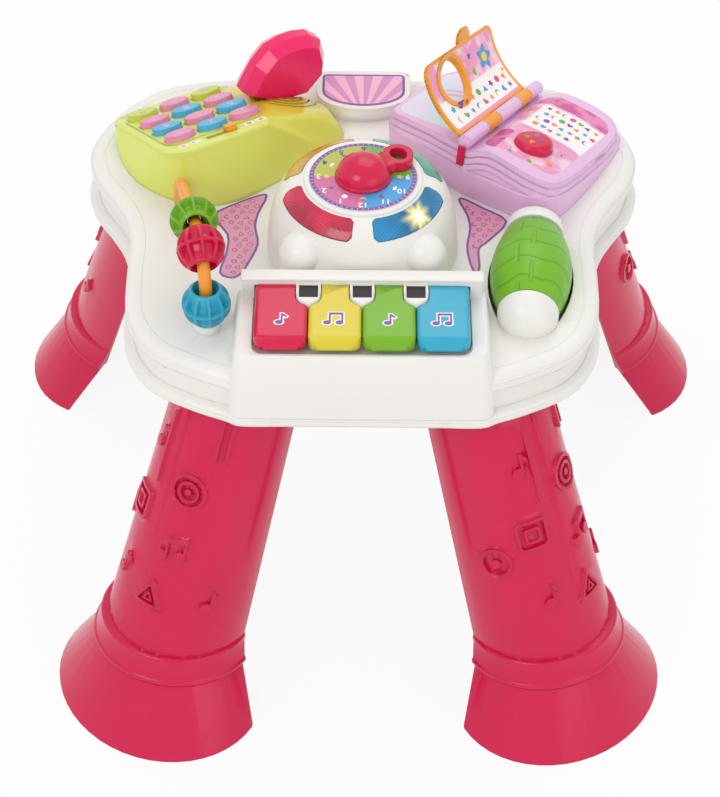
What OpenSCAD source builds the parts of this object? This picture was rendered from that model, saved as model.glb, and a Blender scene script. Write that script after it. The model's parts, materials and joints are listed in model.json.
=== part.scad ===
// Musical activity table: a rounded white casing on four shell legs, with a small piano, a clock
// dial with light lenses, a play phone, a book with a turning page, a roller and a bead rail.
// Millimetres. The origin lies on the floor under the middle of the table, +Z is up and the
// piano is on the -Y side.

/* [Casing] */
// Width of the rim over the two back lobes
table_w = 472; // [462:1:480]
// Depth of the rim, piano front to back edge
table_d = 400; // [394:1:406]
// Height of the rim's underside above the floor
rim_z = 303; // [290:1:316]
// Height of the casing, from its underside to the deck
casing_h = 47; // [45:1:52]
// Thickness of the casing walls
wall = 2.5; // [2:0.1:3]
// Height of the rounded lip round the bottom
lip_h = 10.2; // [9:0.2:12]
// How far the side wall stands back from the lip
recess_d = 8; // [6:0.5:9]

/* [Legs] */
// Foot centre of a front leg, from the middle plane
front_foot_x = 171; // [167:1:175]
// Foot centre of a back leg, from the middle plane
back_foot_x = 232; // [228:1:236]
// Foot centres, ahead of and behind the middle
foot_y = 208; // [204:1:212]
// Lean of each leg, outwards to the floor
leg_tilt = 20; // [19:0.5:21]
// Radius of a leg shell just above its ankle band
ankle_r = 61; // [59:0.5:62]
// Radius of a leg shell where it enters the casing
knee_r = 50; // [48:0.5:51]
// Half length of the foot along its open side
foot_side = 96; // [92:1:100]
// Reach of the foot outwards
foot_out = 82; // [79:1:86]
// Wall of the leg shells
leg_wall = 3; // [2.6:0.1:3.6]
// How far the open side lies behind the leg's axis
chord_d = 20; // [19.6:0.2:22]
// Height of the raised motifs
relief_h = 3.2; // [1:0.2:4]

/* [Piano] */
// Pitch of the four keys
key_pitch = 42; // [41:0.5:43]
// Length of a key from its front to the ridge
key_len = 63.6; // [60:0.2:66]
// Thickness of a key at its front
key_t = 13; // [12:0.5:14]
// Width of the posts between the keys
post_w = 19.4; // [18:0.2:21]
// Radius of the pin that the keys turn on
key_pin_r = 1.5; // [1.2:0.1:1.8]

/* [Dial] */
// Radius of the printed dial
dial_r = 43.2; // [41:0.2:45]
// Radius of the dome where it stands on the deck
dome_r = 78; // [77:0.5:79]
// Height of the dome above the deck
dome_h = 68.5; // [64:0.5:72]
// Radius of the round knob of the pointer
knob_r = 21.7; // [20:0.1:24]
// Radius of the pointer's shaft
shaft_r = 4; // [3:0.25:5]

/* [Phone] */
// Turn of the phone about the upright axis
phone_turn = 31; // [28:1:34]
// Slope of the keypad, down towards the back
phone_tilt = 19.5; // [18:0.5:20.5]
// Height of the keypad's middle above the deck
phone_rise = 30.8; // [29:0.2:33]
// Pitch of the button columns
column_pitch = 30.5; // [30:0.25:31]
// Pitch of the button rows
row_pitch = 25; // [24:0.25:26]
// Half length of an oval button
button_a = 13.5; // [12:0.25:14]
// Half width of an oval button
button_b = 8.7; // [8:0.1:9.5]
// Depth of the handset, front to back
handset_d = 30; // [26:1:34]

/* [Book] */
// Turn of the book about the upright axis
book_turn = -31; // [-33:1:-29]
// Slope of the pages, down towards the back
book_tilt = 11.3; // [10:0.1:12.5]
// Height of the book's middle above the deck
book_rise = 30; // [29:0.5:32]
// Width of the turning page, hinge to free edge
page_w = 70; // [66:0.5:72]
// Length of the turning page along its hinge
page_len = 115; // [112:1:116]
// Thickness of the turning page
page_t = 3; // [2.4:0.2:3.4]
// Opening angle of the page above the left leaf
page_angle = 47; // [42:1:56]
// Radius of the round button on the right leaf
book_button_r = 16; // [14:0.5:17]
// Radius of the hinge knuckles
knuckle_r = 6; // [5.5:0.1:6.2]
// Radius of the hinge pin
hinge_pin_r = 2; // [1.6:0.1:2.4]

/* [Roller] */
// Radius of the roller at its middle
roller_r = 33; // [31:0.5:34]
// Radius of the roller at its ends
roller_end_r = 23.5; // [22:0.5:26]
// Length of the roller
roller_len = 91; // [86:0.5:93]
// Radius of the roller's axle
axle_r = 3; // [2.5:0.25:4]

/* [Bead rail] */
// Radius of the rail's rod
rod_r = 5.1; // [4.8:0.1:5.2]
// Radius of a bead
bead_r = 19.3; // [18:0.1:19.5]
// Length of a bead along the rod
bead_len = 32; // [31:0.5:33]
// Height of the straight part at the front
rail_rise = 36; // [34:0.5:39]
// Radius of the front bend
rail_bend_r = 34; // [33:0.5:36]

/* [Clearances] */
// Gap round a pin or shaft that turns in its bore
running_gap = 0.06; // [0.02:0.01:0.1]
// Gap between pieces that move past each other
free_gap = 0.3; // [0.3:0.05:0.4]
// Gap round a key
key_gap = 0.6; // [0.5:0.05:0.7]

/* [Hidden] */
$fn = 64;
eps = 0.01;
deck_z = rim_z + casing_h;
half_w = table_w / 2;
half_d = table_d / 2;

// ---- outlines -------------------------------------------------------------------------------

function spline_point(a, b, c, d, t) =
    0.5 * ((2 * b) + (c - a) * t + (2 * a - 5 * b + 4 * c - d) * t * t
           + (3 * b - a - 3 * c + d) * t * t * t);

// A smooth closed curve through the points, in the given number of steps from one to the next
function smooth_loop(pts, steps) = let (n = len(pts)) [
    for (i = [0:n - 1]) for (j = [0:steps - 1])
        spline_point(pts[(i + n - 1) % n], pts[i], pts[(i + 1) % n], pts[(i + 2) % n], j / steps)];

function edge_normal(pts, i) =
    let (n = len(pts), v = pts[(i + 1) % n] - pts[(i + n - 1) % n]) [v[1], -v[0]] / norm(v);

// The outline drawn in by d; it runs anticlockwise, so its normals point outwards
function inset(pts, d) = [for (i = [0:len(pts) - 1]) pts[i] - edge_normal(pts, i) * d];

function ellipse(a, b, n = 32) = [for (i = [0:n - 1]) [a * cos(360 * i / n), b * sin(360 * i / n)]];

function polar(r, t) = r * [cos(t), sin(t)];

function arc(r, from, to, n, c = [0, 0]) = [for (i = [0:n]) c + polar(r, from + (to - from) * i / n)];

function round_rect(x0, y0, x1, y1, r, n = 5) = concat(
    arc(r, -90, 0, n, [x1 - r, y0 + r]), arc(r, 0, 90, n, [x1 - r, y1 - r]),
    arc(r, 90, 180, n, [x0 + r, y1 - r]), arc(r, 180, 270, n, [x0 + r, y0 + r]));

function reversed(v) = [for (i = [len(v) - 1:-1:0]) v[i]];

// Right half of the rim, back to front, as shares of its half width and half depth
RIM_SHARES = [[0.25, 0.985], [0.49, 0.98], [0.72, 0.925], [0.85, 0.81], [0.935, 0.67],
              [0.985, 0.53], [1, 0.4], [0.965, 0.24], [0.9, 0.11], [0.845, -0.02],
              [0.822, -0.16], [0.822, -0.34], [0.815, -0.55], [0.78, -0.7], [0.7, -0.835],
              [0.56, -0.935]];
RIM_RIGHT = [for (p = RIM_SHARES) [p[0] * half_w, p[1] * half_d]];
RIM_LEFT = [for (p = reversed(RIM_RIGHT)) [-p[0], p[1]]];
// The middle of the front edge is the piano's lip, which stands out a little
piano_lip_x = 99;
piano_lip_y = -half_d - 3.5;
PIANO_LIP = concat([[-piano_lip_x - 9, piano_lip_y + 6], [-piano_lip_x + 5, piano_lip_y]],
    [for (x = [-60:30:60]) [x, piano_lip_y]],
    [[piano_lip_x - 5, piano_lip_y], [piano_lip_x + 9, piano_lip_y + 6]]);
RIM_TURN = concat(RIM_LEFT, [[0, 0.985 * half_d]], RIM_RIGHT);
RIM_SMOOTH = smooth_loop(concat(reversed(RIM_TURN), PIANO_LIP), 3);
OUTLINE = RIM_SMOOTH;

// Draws the outline as a stack of level slabs, each given as [inset, bottom, top]
module stack(levels, extra = 0) {
    for (s = levels)
        translate([0, 0, s[1]]) linear_extrude(s[2] - s[1]) polygon(inset(OUTLINE, s[0] + extra));
}

// ---- casing ---------------------------------------------------------------------------------

floor_t = 3;
lip_top = rim_z + lip_h;
LIP_LEVELS = [[2.2, rim_z, rim_z + 1.4], [0.8, rim_z + 1.4, rim_z + 2.6],
              [0, rim_z + 2.6, lip_top - 2.6], [0.8, lip_top - 2.6, lip_top - 1.4],
              [2.2, lip_top - 1.4, lip_top]];
shoulder_h = 14;
WALL_LEVELS = [[recess_d, lip_top, deck_z - shoulder_h], [5.5, deck_z - shoulder_h, deck_z - 11.5],
               [3, deck_z - 11.5, deck_z - 5], [4.2, deck_z - 5, deck_z - 3],
               [7, deck_z - 3, deck_z - 1.4], [14, deck_z - 1.4, deck_z]];

// Screw posts, right-hand ones, as [x, y, height above the deck]; each has a twin on the left
POSTS = [[half_w - 24, 90, -1], [178, -50, -1], [50, 172, -1], [20, -170, 15]];
screw_r = 1.5;
screw_head_r = 3.5;
post_r = 4.5;
post_pad_t = 3;

module both_sides() {
    children();
    mirror([1, 0, 0]) children();
}

module at_posts() {
    both_sides() for (p = POSTS) translate([p[0], p[1], 0]) children();
}

module screw_posts() {
    z0 = rim_z + floor_t + post_pad_t;
    both_sides() for (p = POSTS) translate([p[0], p[1], z0]) cylinder(h = deck_z + p[2] - z0, r = post_r);
}

// ---- legs -----------------------------------------------------------------------------------

leg_top_z = rim_z;
neck_top_z = leg_top_z + 22;
neck_r = 18;
band_z = 55;
band_h = 25;
band_proud = 4;
band_lean = 8;
band_root = 13;
shaft_len = (leg_top_z + 30) / cos(leg_tilt);
knee_len = (rim_z + 20) / cos(leg_tilt);
shaft_slope = (ankle_r - knee_r) / (knee_len - band_z - band_h);
socket_gap = 0.3;
socket_wall = 2.4;

function shaft_r_at(h) = ankle_r - shaft_slope * (h - band_z - band_h);

// Places a leg's own frame: x outwards, the foot's centre on the floor
module at_leg(side, row) {
    mirror([side < 0 ? 1 : 0, 0, 0])
        translate([row < 0 ? front_foot_x : back_foot_x, row * foot_y, 0])
            rotate(row * 45) children();
}

module leaning() { rotate([0, -leg_tilt, 0]) children(); }

// Places the ankle band, which leans less than the leg
module at_band() {
    leaning() translate([0, 0, band_z]) rotate([0, leg_tilt - band_lean, 0]) children();
}

module shaft_cone(grow, drop = 0) {
    translate([0, 0, band_z - drop])
        cylinder(h = shaft_len - band_z + drop, r1 = shaft_r_at(band_z - drop) + grow,
                 r2 = shaft_r_at(shaft_len) + grow);
}

module foot_bell(grow, drop) {
    hull() {
        translate([0, 0, -drop]) linear_extrude(3 + drop)
            polygon(ellipse(foot_out + grow, foot_side + grow, 48));
        at_band() cylinder(h = 2, r = ankle_r + band_proud + grow, $fn = 48);
    }
}

module open_side(gap = 0) {
    leaning() translate([-300 - chord_d - gap, -150, -80]) cube([300, 300, shaft_len + 200]);
}

module level_cut(z0, z1) { translate([-300, -300, z0]) cube([600, 600, z1 - z0]); }

module ring_2d(r, w) { difference() { circle(r); circle(r - w); } }

module triangle_2d(r, w) {
    difference() {
        polygon([for (a = [90, 210, 330]) r * [cos(a), sin(a)]]);
        polygon([for (a = [90, 210, 330]) (r - 2 * w) * [cos(a), sin(a)]]);
    }
}

module square_2d(r, w) {
    difference() {
        polygon(round_rect(-r, -r, r, r, r / 3));
        polygon(round_rect(w - r, w - r, r - w, r - w, r / 5));
    }
}

module beamed_notes_2d() {
    polygon([[-9, 9], [9, 13], [9, 8], [-9, 4]]);
    for (s = [[-9, -9], [9, -5]]) {
        translate([s[0] - (s[0] < 0 ? 0 : 2.4), s[1]]) square([2.4, 15]);
        translate([s[0] - (s[0] < 0 ? 2.5 : 4.5), s[1]]) circle(5);
    }
}

module note_2d() {
    translate([2, -7]) square([2.4, 17]);
    translate([-1, -7]) circle(5);
    polygon([[4, 10], [9, 4], [9, 0], [4, 5]]);
}

// The motifs on a leg, each at its turn from the outward side and its height up the leg
module motif_at(turn, h) {
    rotate(turn) translate([shaft_r_at(h) - 8, 0, h]) rotate([90, 0, 90]) linear_extrude(16) children();
}

module motifs() {
    motif_at(20, 225) union() { ring_2d(16, 3.2); ring_2d(9.6, 2.8); circle(3); }
    motif_at(23, 170) beamed_notes_2d();
    motif_at(11, 118) union() { triangle_2d(17, 3); triangle_2d(6, 1.5); }
    motif_at(-28, 190) union() { square_2d(14, 3); square_2d(7, 2.4); }
    motif_at(-26, 130) note_2d();
    motif_at(-26, 255) note_2d();
    motif_at(-14, 250) polygon(round_rect(-1.6, -34, 1.6, 34, 1.5));
    motif_at(-62, 170) union() { ring_2d(14, 3); circle(4); }
    motif_at(58, 130) note_2d();
    for (x = [0, 9]) motif_at(34 + x, 283) polygon(round_rect(-1.6, -24, 1.6, 24, 1.5));
}

// All four legs come from one mould, so the motifs aren't mirrored with the leg
module leg_reliefs(side) {
    leaning() mirror([0, side < 0 ? 1 : 0, 0]) intersection() {
        motifs();
        difference() { shaft_cone(relief_h); shaft_cone(-1); }
    }
}

module leg_band() {
    r0 = ankle_r + band_proud;
    at_band() translate([0, 0, -2]) rotate_extrude() polygon(concat(
        [[ankle_r - band_root, 0], [r0 + 2.5, 0]], arc(3.2, -60, 70, 6, [r0 + 1.5, 4.2]),
        [[r0 - 0.8, band_h - 5]], arc(3, 0, 80, 5, [r0 - 3.8, band_h - 1]),
        [[ankle_r - band_root, band_h + 3]]));
}

module leg(side, row) {
    color("#d93258") at_leg(side, row) {
        difference() {
            union() {
                foot_bell(0, 0);
                leaning() shaft_cone(0);
                leg_band();
                leg_reliefs(side);
            }
            foot_bell(-leg_wall, 2);
            leaning() shaft_cone(-leg_wall, 15);
            open_side();
            level_cut(-80, 0);
            level_cut(leg_top_z, leg_top_z + 200);
        }
        leg_top_plate();
        leg_neck();
    }
}

module leg_top_plate() {
    difference() {
        leaning() shaft_cone(-leg_wall / 2);
        open_side();
        level_cut(-80, leg_top_z - leg_wall);
        level_cut(leg_top_z, leg_top_z + 200);
    }
}

module leg_neck() {
    difference() {
        leaning() cylinder(h = shaft_len + 60, r = neck_r);
        leaning() cylinder(h = shaft_len + 61, r = neck_r - leg_wall);
        level_cut(-80, leg_top_z);
        level_cut(neck_top_z, neck_top_z + 300);
    }
}

module leg_front_left() { leg(-1, -1); }
module leg_front_right() { leg(1, -1); }
module leg_back_left() { leg(-1, 1); }
module leg_back_right() { leg(1, 1); }

module each_leg() {
    for (side = [-1, 1]) for (row = [-1, 1]) at_leg(side, row) children();
}

module socket_outside() {
    difference() {
        leaning() cylinder(h = shaft_len + 60, r = neck_r + socket_gap + socket_wall);
        level_cut(-80, rim_z);
        level_cut(neck_top_z, neck_top_z + 300);
    }
}

module socket_inside() { leaning() cylinder(h = shaft_len + 80, r = neck_r + socket_gap); }

// ---- battery bay and electronics --------------------------------------------------------------

cell_r = 7.1;
cell_len = 49;
cell_pitch = 15.6;
cell_count = 3;
door_t = 2.6;
bay_w = cell_count * cell_pitch + 5;
bay_d = cell_len + 7;
bay_y = 20;
bay_h = 2 * cell_r + 2.4;
door_margin = 5;
contact_t = 0.8;
contact_y = bay_d / 2 - contact_t - 0.1;
nub_h = 1.2;
cell_shift = contact_y - cell_len / 2 - nub_h;
board_z = rim_z + 30;
board_t = 1.6;
BOARD_POSTS = [[56, bay_y - 30], [56, bay_y + 30]];

module bay_box(grow, z0, z1) {
    translate([-bay_w / 2 - grow, bay_y - bay_d / 2 - grow, z0])
        cube([bay_w + 2 * grow, bay_d + 2 * grow, z1 - z0]);
}

module bottom_casing() {
    color("#e9e6e0") difference() {
        union() {
            difference() {
                stack(LIP_LEVELS);
                stack([[recess_d + wall, rim_z + floor_t, lip_top + 1]]);
            }
            each_leg() socket_outside();
            at_posts() translate([0, 0, rim_z]) cylinder(h = floor_t + post_pad_t, r = 7);
            bay_box(wall, rim_z + eps, rim_z + floor_t + bay_h + wall);
            bay_box(door_margin + 1.5, rim_z + eps, rim_z + door_t + 2);
            both_sides() for (p = BOARD_POSTS)
                translate([p[0], p[1], rim_z]) cylinder(h = board_z - rim_z, r = 4);
        }
        each_leg() socket_inside();
        at_posts() translate([0, 0, rim_z - 1]) {
            cylinder(h = 20, r = screw_r + 0.4);
            cylinder(h = floor_t + 1, r = screw_head_r + 0.6);
        }
        bay_box(0, rim_z + door_t, rim_z + floor_t + bay_h);
        bay_box(door_margin, rim_z - 1, rim_z + door_t);
        translate([0, bay_y - bay_d / 2 - door_margin + 3.4, rim_z]) cylinder(h = 12, r = 1.2);
    }
}

module battery_door() {
    g = door_margin - free_gap;
    color("#dedbd4") difference() {
        bay_box(g, rim_z, rim_z + door_t);
        for (i = [-3:3]) translate([i * 7, bay_y + bay_d / 2 - 12, rim_z]) cube([3, 12, 2], center = true);
        translate([0, bay_y - bay_d / 2 - door_margin + 3.4, rim_z - 1]) cylinder(h = 9, r = 1.2);
    }
}

module cell_row() {
    for (i = [0:cell_count - 1])
        translate([(i - (cell_count - 1) / 2) * cell_pitch, bay_y, rim_z + door_t + 0.2 + cell_r])
            rotate([i % 2 == 0 ? 90 : -90, 0, 0]) children();
}

module batteries() {
    color("#3d4148") cell_row() translate([0, 0, cell_shift]) {
        translate([0, 0, -cell_len / 2]) cylinder(h = cell_len, r = cell_r);
        translate([0, 0, cell_len / 2]) cylinder(h = nub_h, r = 2.7);
    }
}

module battery_contacts() {
    color("#b9bcc0") cell_row() {
        for (z = [-contact_y - contact_t, contact_y]) translate([-5, -5, z]) cube([10, 10, contact_t]);
        translate([0, 0, -contact_y - eps])
            cylinder(h = contact_y - cell_len / 2 + cell_shift + eps, r1 = 5, r2 = 3);
    }
}

module circuit_board() {
    color("#2f6b43") difference() {
        union() {
            translate([-64, bay_y - 38, board_z]) cube([128, 76, board_t]);
            translate([-20, bay_y - 10, board_z + board_t]) cube([16, 12, 2]);
            translate([12, bay_y + 6, board_z + board_t]) cylinder(h = 7, r = 4);
            translate([26, bay_y + 6, board_z + board_t]) cylinder(h = 7, r = 4);
            translate([-50, bay_y + 18, board_z + board_t]) cube([14, 7, 6]);
        }
        both_sides() for (p = BOARD_POSTS) translate([p[0], p[1], board_z - 1]) cylinder(h = 5, r = 1.4);
    }
}

plate_x = 41;
grille_x = 84;
grille_y = -9;
phone_x = -plate_x - 103.3;
phone_y = 93.2;
speaker_x = phone_x + grille_x * cos(phone_turn) - grille_y * sin(phone_turn);
speaker_y = phone_y + grille_x * sin(phone_turn) + grille_y * cos(phone_turn);
speaker_r = 21;
module speaker() {
    color("#33363a") translate([speaker_x, speaker_y, deck_z - wall - 1 - free_gap]) {
        translate([0, 0, -2.2]) cylinder(h = 2.2, r = speaker_r);
        translate([0, 0, -11]) cylinder(h = 8.8 + eps, r1 = 12, r2 = speaker_r - 2);
        translate([0, 0, -18]) cylinder(h = 7 + eps, r = 11);
    }
}

// ---- top casing -----------------------------------------------------------------------------

piano_ledge_z = deck_z + 22;
tray_z = deck_z + 16.5;
key_top_z = deck_z + 36;
key_under_z = key_top_z - key_t;
ridge_front_y = -half_d + 74;
ridge_back_y = ridge_front_y + 12;
ridge_top_z = key_top_z + 4.5;
key_front_y = ridge_front_y - 1 - key_len;
key_pin_y = ridge_front_y + 4.5;
key_pin_z = key_top_z - 9;
post_len = 24;
pad_w = 15;
keys_w = 4 * key_pitch;
ledge_inside_y = key_front_y - 0.9;
ledge_front_y = ledge_inside_y - wall;
pocket_x = keys_w / 2 + key_gap;
box_side = pocket_x + wall + 7;
key_corner_r = 8;

module key_post_2d(grow) {
    polygon(concat(
        [[post_w / 2 + grow, ridge_back_y - wall], [-post_w / 2 - grow, ridge_back_y - wall]],
        arc(post_w / 2 + grow, 180, 360, 12, [0, ridge_front_y - post_len + post_w / 2])));
}

module between_keys() { for (i = [-1:1]) translate([i * key_pitch, 0, 0]) children(); }

// The piano's box, drawn in by d; its front leans back as it rises, and its front edge is eased
module piano_box(d, z_top) {
    hull() for (s = [[lip_top, 7, 0], [z_top - 5.5, 1, 0], [z_top - 0.5, 1, 1.5]])
        translate([0, 0, s[0]]) linear_extrude(0.5) polygon(round_rect(
            -box_side - s[1] / 3 + d, ledge_front_y - s[1] + s[2] + d, box_side + s[1] / 3 - d,
            ridge_back_y - d, key_corner_r));
}

module ridge() {
    z0 = piano_ledge_z - 2;
    translate([-box_side, 0, 0]) rotate([90, 0, 90]) linear_extrude(2 * box_side) polygon(concat(
        [[ridge_back_y, z0]], arc(4, 0, 90, 5, [ridge_back_y - 4, ridge_top_z - 4]),
        arc(3, 90, 180, 5, [ridge_front_y + 3, ridge_top_z - 3]), [[ridge_front_y, z0]]));
}

module key_pocket() {
    r = key_corner_r + key_gap;
    translate([0, 0, tray_z]) linear_extrude(60) polygon(concat(
        arc(r, 180, 270, 5, [r - pocket_x, ledge_inside_y + r]),
        arc(r, 270, 360, 5, [pocket_x - r, ledge_inside_y + r]),
        [[pocket_x, ridge_front_y + eps], [-pocket_x, ridge_front_y + eps]]));
    translate([-pocket_x, ridge_front_y - 1, tray_z])
        cube([2 * pocket_x, ridge_back_y - wall - ridge_front_y + 1, key_top_z - 1.5 - tray_z]);
}

module key_posts() {
    between_keys() difference() {
        translate([0, 0, tray_z - eps]) linear_extrude(key_top_z + 0.5 - tray_z) key_post_2d(0);
        translate([0, ridge_front_y - 1 - pad_w / 2, key_top_z - 2])
            linear_extrude(5) square(pad_w, center = true);
    }
}

roller_x = box_side + 41.9;
roller_y = -78;
roller_z = deck_z + 6;
roller_turn = -5.5;
roller_gap = 1.5;
rail_turn = 11.5;
rail_x = -half_w + 114;
rail_y = -138;
rail_span = 149;
boss_h = 9;
back_boss_h = 3;
plate_y0 = half_d - 71;
plate_y1 = half_d - 16;
plate_h = 14;

// The plate's outline, drawn in by d: a half ellipse in front and two round corners at the back
function plate_outline(d) = concat(
    [for (t = [180:12:360]) [(plate_x - d) * cos(t), plate_y0 + 26 + (26 - d) * sin(t)]],
    arc(9 - d, 0, 90, 4, [plate_x - 9, plate_y1 - 9]), arc(9 - d, 90, 180, 4, [9 - plate_x, plate_y1 - 9]));
dial_y = ridge_back_y + dome_r + 1;
board_ring_z = deck_z + 41;
board_ring_r = dome_r - 13;
PILLARS = [45, 135, 225, 315];

module at_rail() { translate([rail_x, rail_y, deck_z]) rotate(90 + rail_turn) children(); }
module at_dial() { translate([0, dial_y, 0]) children(); }
module at_roller_plan() { translate([roller_x, roller_y, 0]) rotate(roller_turn) children(); }

// The roller's side, drawn out by grow, over the given half length
function roller_profile(grow, half) = [for (i = [0:8]) let (u = i / 4 - 1)
    [roller_r - (roller_r - roller_end_r) * u * u + grow, u * half]];

module deck_openings() {
    at_dial() translate([0, 0, deck_z - 20]) cylinder(h = 21, r = dome_r - 20);
    side = roller_profile(roller_gap, roller_len / 2 + roller_gap);
    at_roller_plan() translate([0, 0, deck_z - 20]) linear_extrude(40)
        polygon(concat(side, [for (p = reversed(side)) [-p[0], p[1]]]));
    for (p = [[phone_x, phone_y, 20], [book_x, book_y, 20], [speaker_x, speaker_y, 16]])
        translate([p[0], p[1], deck_z - 20]) cylinder(h = 40, r = p[2]);
}

module top_casing() {
    color("#ebe8e2") difference() {
        union() {
            difference() {
                union() {
                    stack(WALL_LEVELS);
                    piano_box(0, piano_ledge_z);
                }
                stack([[recess_d + wall, lip_top - 1, deck_z - wall - 1]]);
                piano_box(wall, tray_z - wall);
            }
            difference() {
                union() {
                    screw_posts();
                    translate([speaker_x, speaker_y, deck_z - wall - 7]) cylinder(h = 8, r = speaker_r + 2.4);
                }
                translate([speaker_x, speaker_y, deck_z - wall - 9])
                    cylinder(h = 8, r = speaker_r + free_gap);
            }
            ridge();
            translate([0, 0, deck_z - 1]) linear_extrude(plate_h + 1) polygon(plate_outline(0));
            at_dial() for (a = PILLARS) rotate(a)
                translate([board_ring_r - 4, 0, deck_z - 1]) cylinder(h = board_ring_z - deck_z + 1, r = 3);
            at_rail() {
                cylinder(h = boss_h, r = rod_r + 6);
                translate([rail_span, 0, 0]) cylinder(h = back_boss_h, r = rod_r + 1.9);
            }
        }
        key_pocket();
        deck_openings();
        at_posts() translate([0, 0, rim_z]) cylinder(h = 30, r = screw_r + 0.05);
        at_rail() for (x = [0, rail_span]) translate([x, 0, 0]) cylinder(h = 20, r = rod_r + running_gap);
        translate([-box_side - 1, key_pin_y, key_pin_z]) rotate([0, 90, 0])
            cylinder(h = 2 * box_side - wall, r = key_pin_r + running_gap / 3);
        translate([0, 0, deck_z + plate_h - 2.4]) linear_extrude(5) polygon(plate_outline(5));
    }
    color("#ebe8e2") difference() {
        key_posts();
        translate([-box_side - 1, key_pin_y, key_pin_z]) rotate([0, 90, 0])
            cylinder(h = 2 * box_side - wall, r = key_pin_r + running_gap / 3);
    }
}

module casing_screws() {
    color("#9a9da1") at_posts() translate([0, 0, rim_z]) {
        translate([0, 0, floor_t - 2.4]) cylinder(h = 2.4, r = screw_head_r);
        translate([0, 0, floor_t - eps]) cylinder(h = 18, r = screw_r);
    }
}

module nameplate() {
    color("#e3adc2") translate([0, 0, deck_z + plate_h - 2.4])
        linear_extrude(2.8) polygon(plate_outline(5.3));
}

label_t = 0.4;
LABEL_LEFT = [[-125, 0], [-104, 18], [-84, 29], [-80, 24], [-86, 4], [-88, -14], [-85, -36], [-92, -60],
              [-98, -74], [-106, -79], [-116, -72], [-112, -48], [-112, -24]];
LABEL_RIGHT = [[92, -72], [96, -62], [96, -40], [104, -30], [120, -4], [100, 14], [84, 26], [80, 22], [86, 4],
               [88, -14], [85, -36], [87, -58]];
module label(pts) { color("#c88aa0") translate([0, 0, deck_z]) linear_extrude(label_t) polygon(pts); }
module label_left() { label(smooth_loop(LABEL_LEFT, 3)); }
module label_right() { label(smooth_loop(LABEL_RIGHT, 3)); }

// ---- piano keys -------------------------------------------------------------------------------

module key_side_2d() {
    polygon(concat(
        [[ridge_front_y - 1, key_under_z], [key_front_y, key_under_z + 1.5]],
        arc(6, 180, 90, 6, [key_front_y + 6, key_top_z - 6]), [[ridge_front_y - 1, key_top_z]]));
}

// A key with its number counted from the left
module piano_key(i) {
    x = (i - 1.5) * key_pitch;
    w = key_pitch - key_gap;
    difference() {
        union() {
            intersection() {
                translate([x - w / 2, 0, 0]) rotate([90, 0, 90]) linear_extrude(w) key_side_2d();
                translate([0, 0, key_under_z - 1]) linear_extrude(key_t + 2)
                    polygon(round_rect(x - w / 2, key_front_y, x + w / 2, ridge_front_y + 9, key_corner_r));
                translate([x, ridge_front_y + 20, 0]) rotate([90, 0, 0]) linear_extrude(120)
                    polygon(round_rect(-w / 2, key_under_z - 10, w / 2, key_top_z, 3.5));
            }
            translate([x - key_pitch / 4, ridge_front_y - 2, key_under_z]) cube([
                key_pitch / 2, ridge_back_y - wall - 1 - ridge_front_y + 2, key_pin_z + 3.2 - key_under_z]);
        }
        between_keys() translate([0, 0, tray_z - 1]) linear_extrude(60) key_post_2d(key_gap);
        translate([-box_side, key_pin_y, key_pin_z]) rotate([0, 90, 0])
            cylinder(h = 2 * box_side, r = key_pin_r + running_gap);
    }
}

module piano_key_red() { color("#d62f58") piano_key(0); }
module piano_key_yellow() { color("#e3d153") piano_key(1); }
module piano_key_green() { color("#8fbe40") piano_key(2); }
module piano_key_blue() { color("#58b8d1") piano_key(3); }

module key_pin() {
    color("#b4b7bb") translate([-box_side + 0.5, key_pin_y, key_pin_z]) rotate([0, 90, 0])
        cylinder(h = 2 * box_side - wall - 2, r = key_pin_r);
}

module key_contact_mat() {
    y = key_front_y + 24;
    color("#b7b9bb") {
        translate([-keys_w / 2 + 4, y - 6, tray_z]) cube([keys_w - 8, 12, 1]);
        for (i = [0:3]) translate([(i - 1.5) * key_pitch, y, tray_z + 1 - eps])
            cylinder(h = 2, r1 = 4.5, r2 = 3);
    }
}

module black_keys() {
    color("#2d2a2b") between_keys() translate([0, ridge_front_y - 1 - pad_w / 2, key_top_z - 2])
        linear_extrude(1.6) square(pad_w - 0.4, center = true);
}

// ---- dome and dial ----------------------------------------------------------------------------

dome_top_z = deck_z + dome_h;
ring_r = dial_r + 4.5;
ring_h = 2.4;
// Shares of the dome's height and of its inward lean, from the deck up
DOME_CURVE = [[0, 0], [0.175, 0.017], [0.38, 0.07], [0.555, 0.156], [0.7, 0.26], [0.818, 0.417],
              [0.927, 0.66], [1, 1]];
function dome_profile(grow) = [for (p = DOME_CURVE)
    [dome_r - (dome_r - ring_r - 1.5) * p[1] + grow, deck_z + dome_h * p[0] + grow / 2]];

module dome_solid(grow) {
    side = dome_profile(grow);
    rotate_extrude($fn = 96) polygon(concat([[0, side[0][1]]], side, [[0, side[len(side) - 1][1]]]));
}

// The apron fills the corners between the dome and the ridge, drawn in by d
apron_x = 66;
apron_h = 42;
module apron(d) {
    hull() {
        translate([0, 0, deck_z - (d > 0 ? 1 : 0)]) linear_extrude(1.5)
            polygon(round_rect(d - apron_x, d - dome_r - 0.4, apron_x - d, 0, 22));
        translate([0, 0, deck_z + apron_h - 1 - d]) cylinder(h = 1, r = dome_r - 7 - d);
    }
}

cheek_r = 18;
module cheeks(d) { both_sides() translate([49, 25 - dome_r, deck_z + 35]) sphere(r = cheek_r - d); }

lens_from = 8;
lens_to = 82;
lens_r0 = ring_r + 2.3;
lens_r1 = lens_r0 + 15.5;
lens_proud = 0.5;
lens_corner = 2.5;

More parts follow.
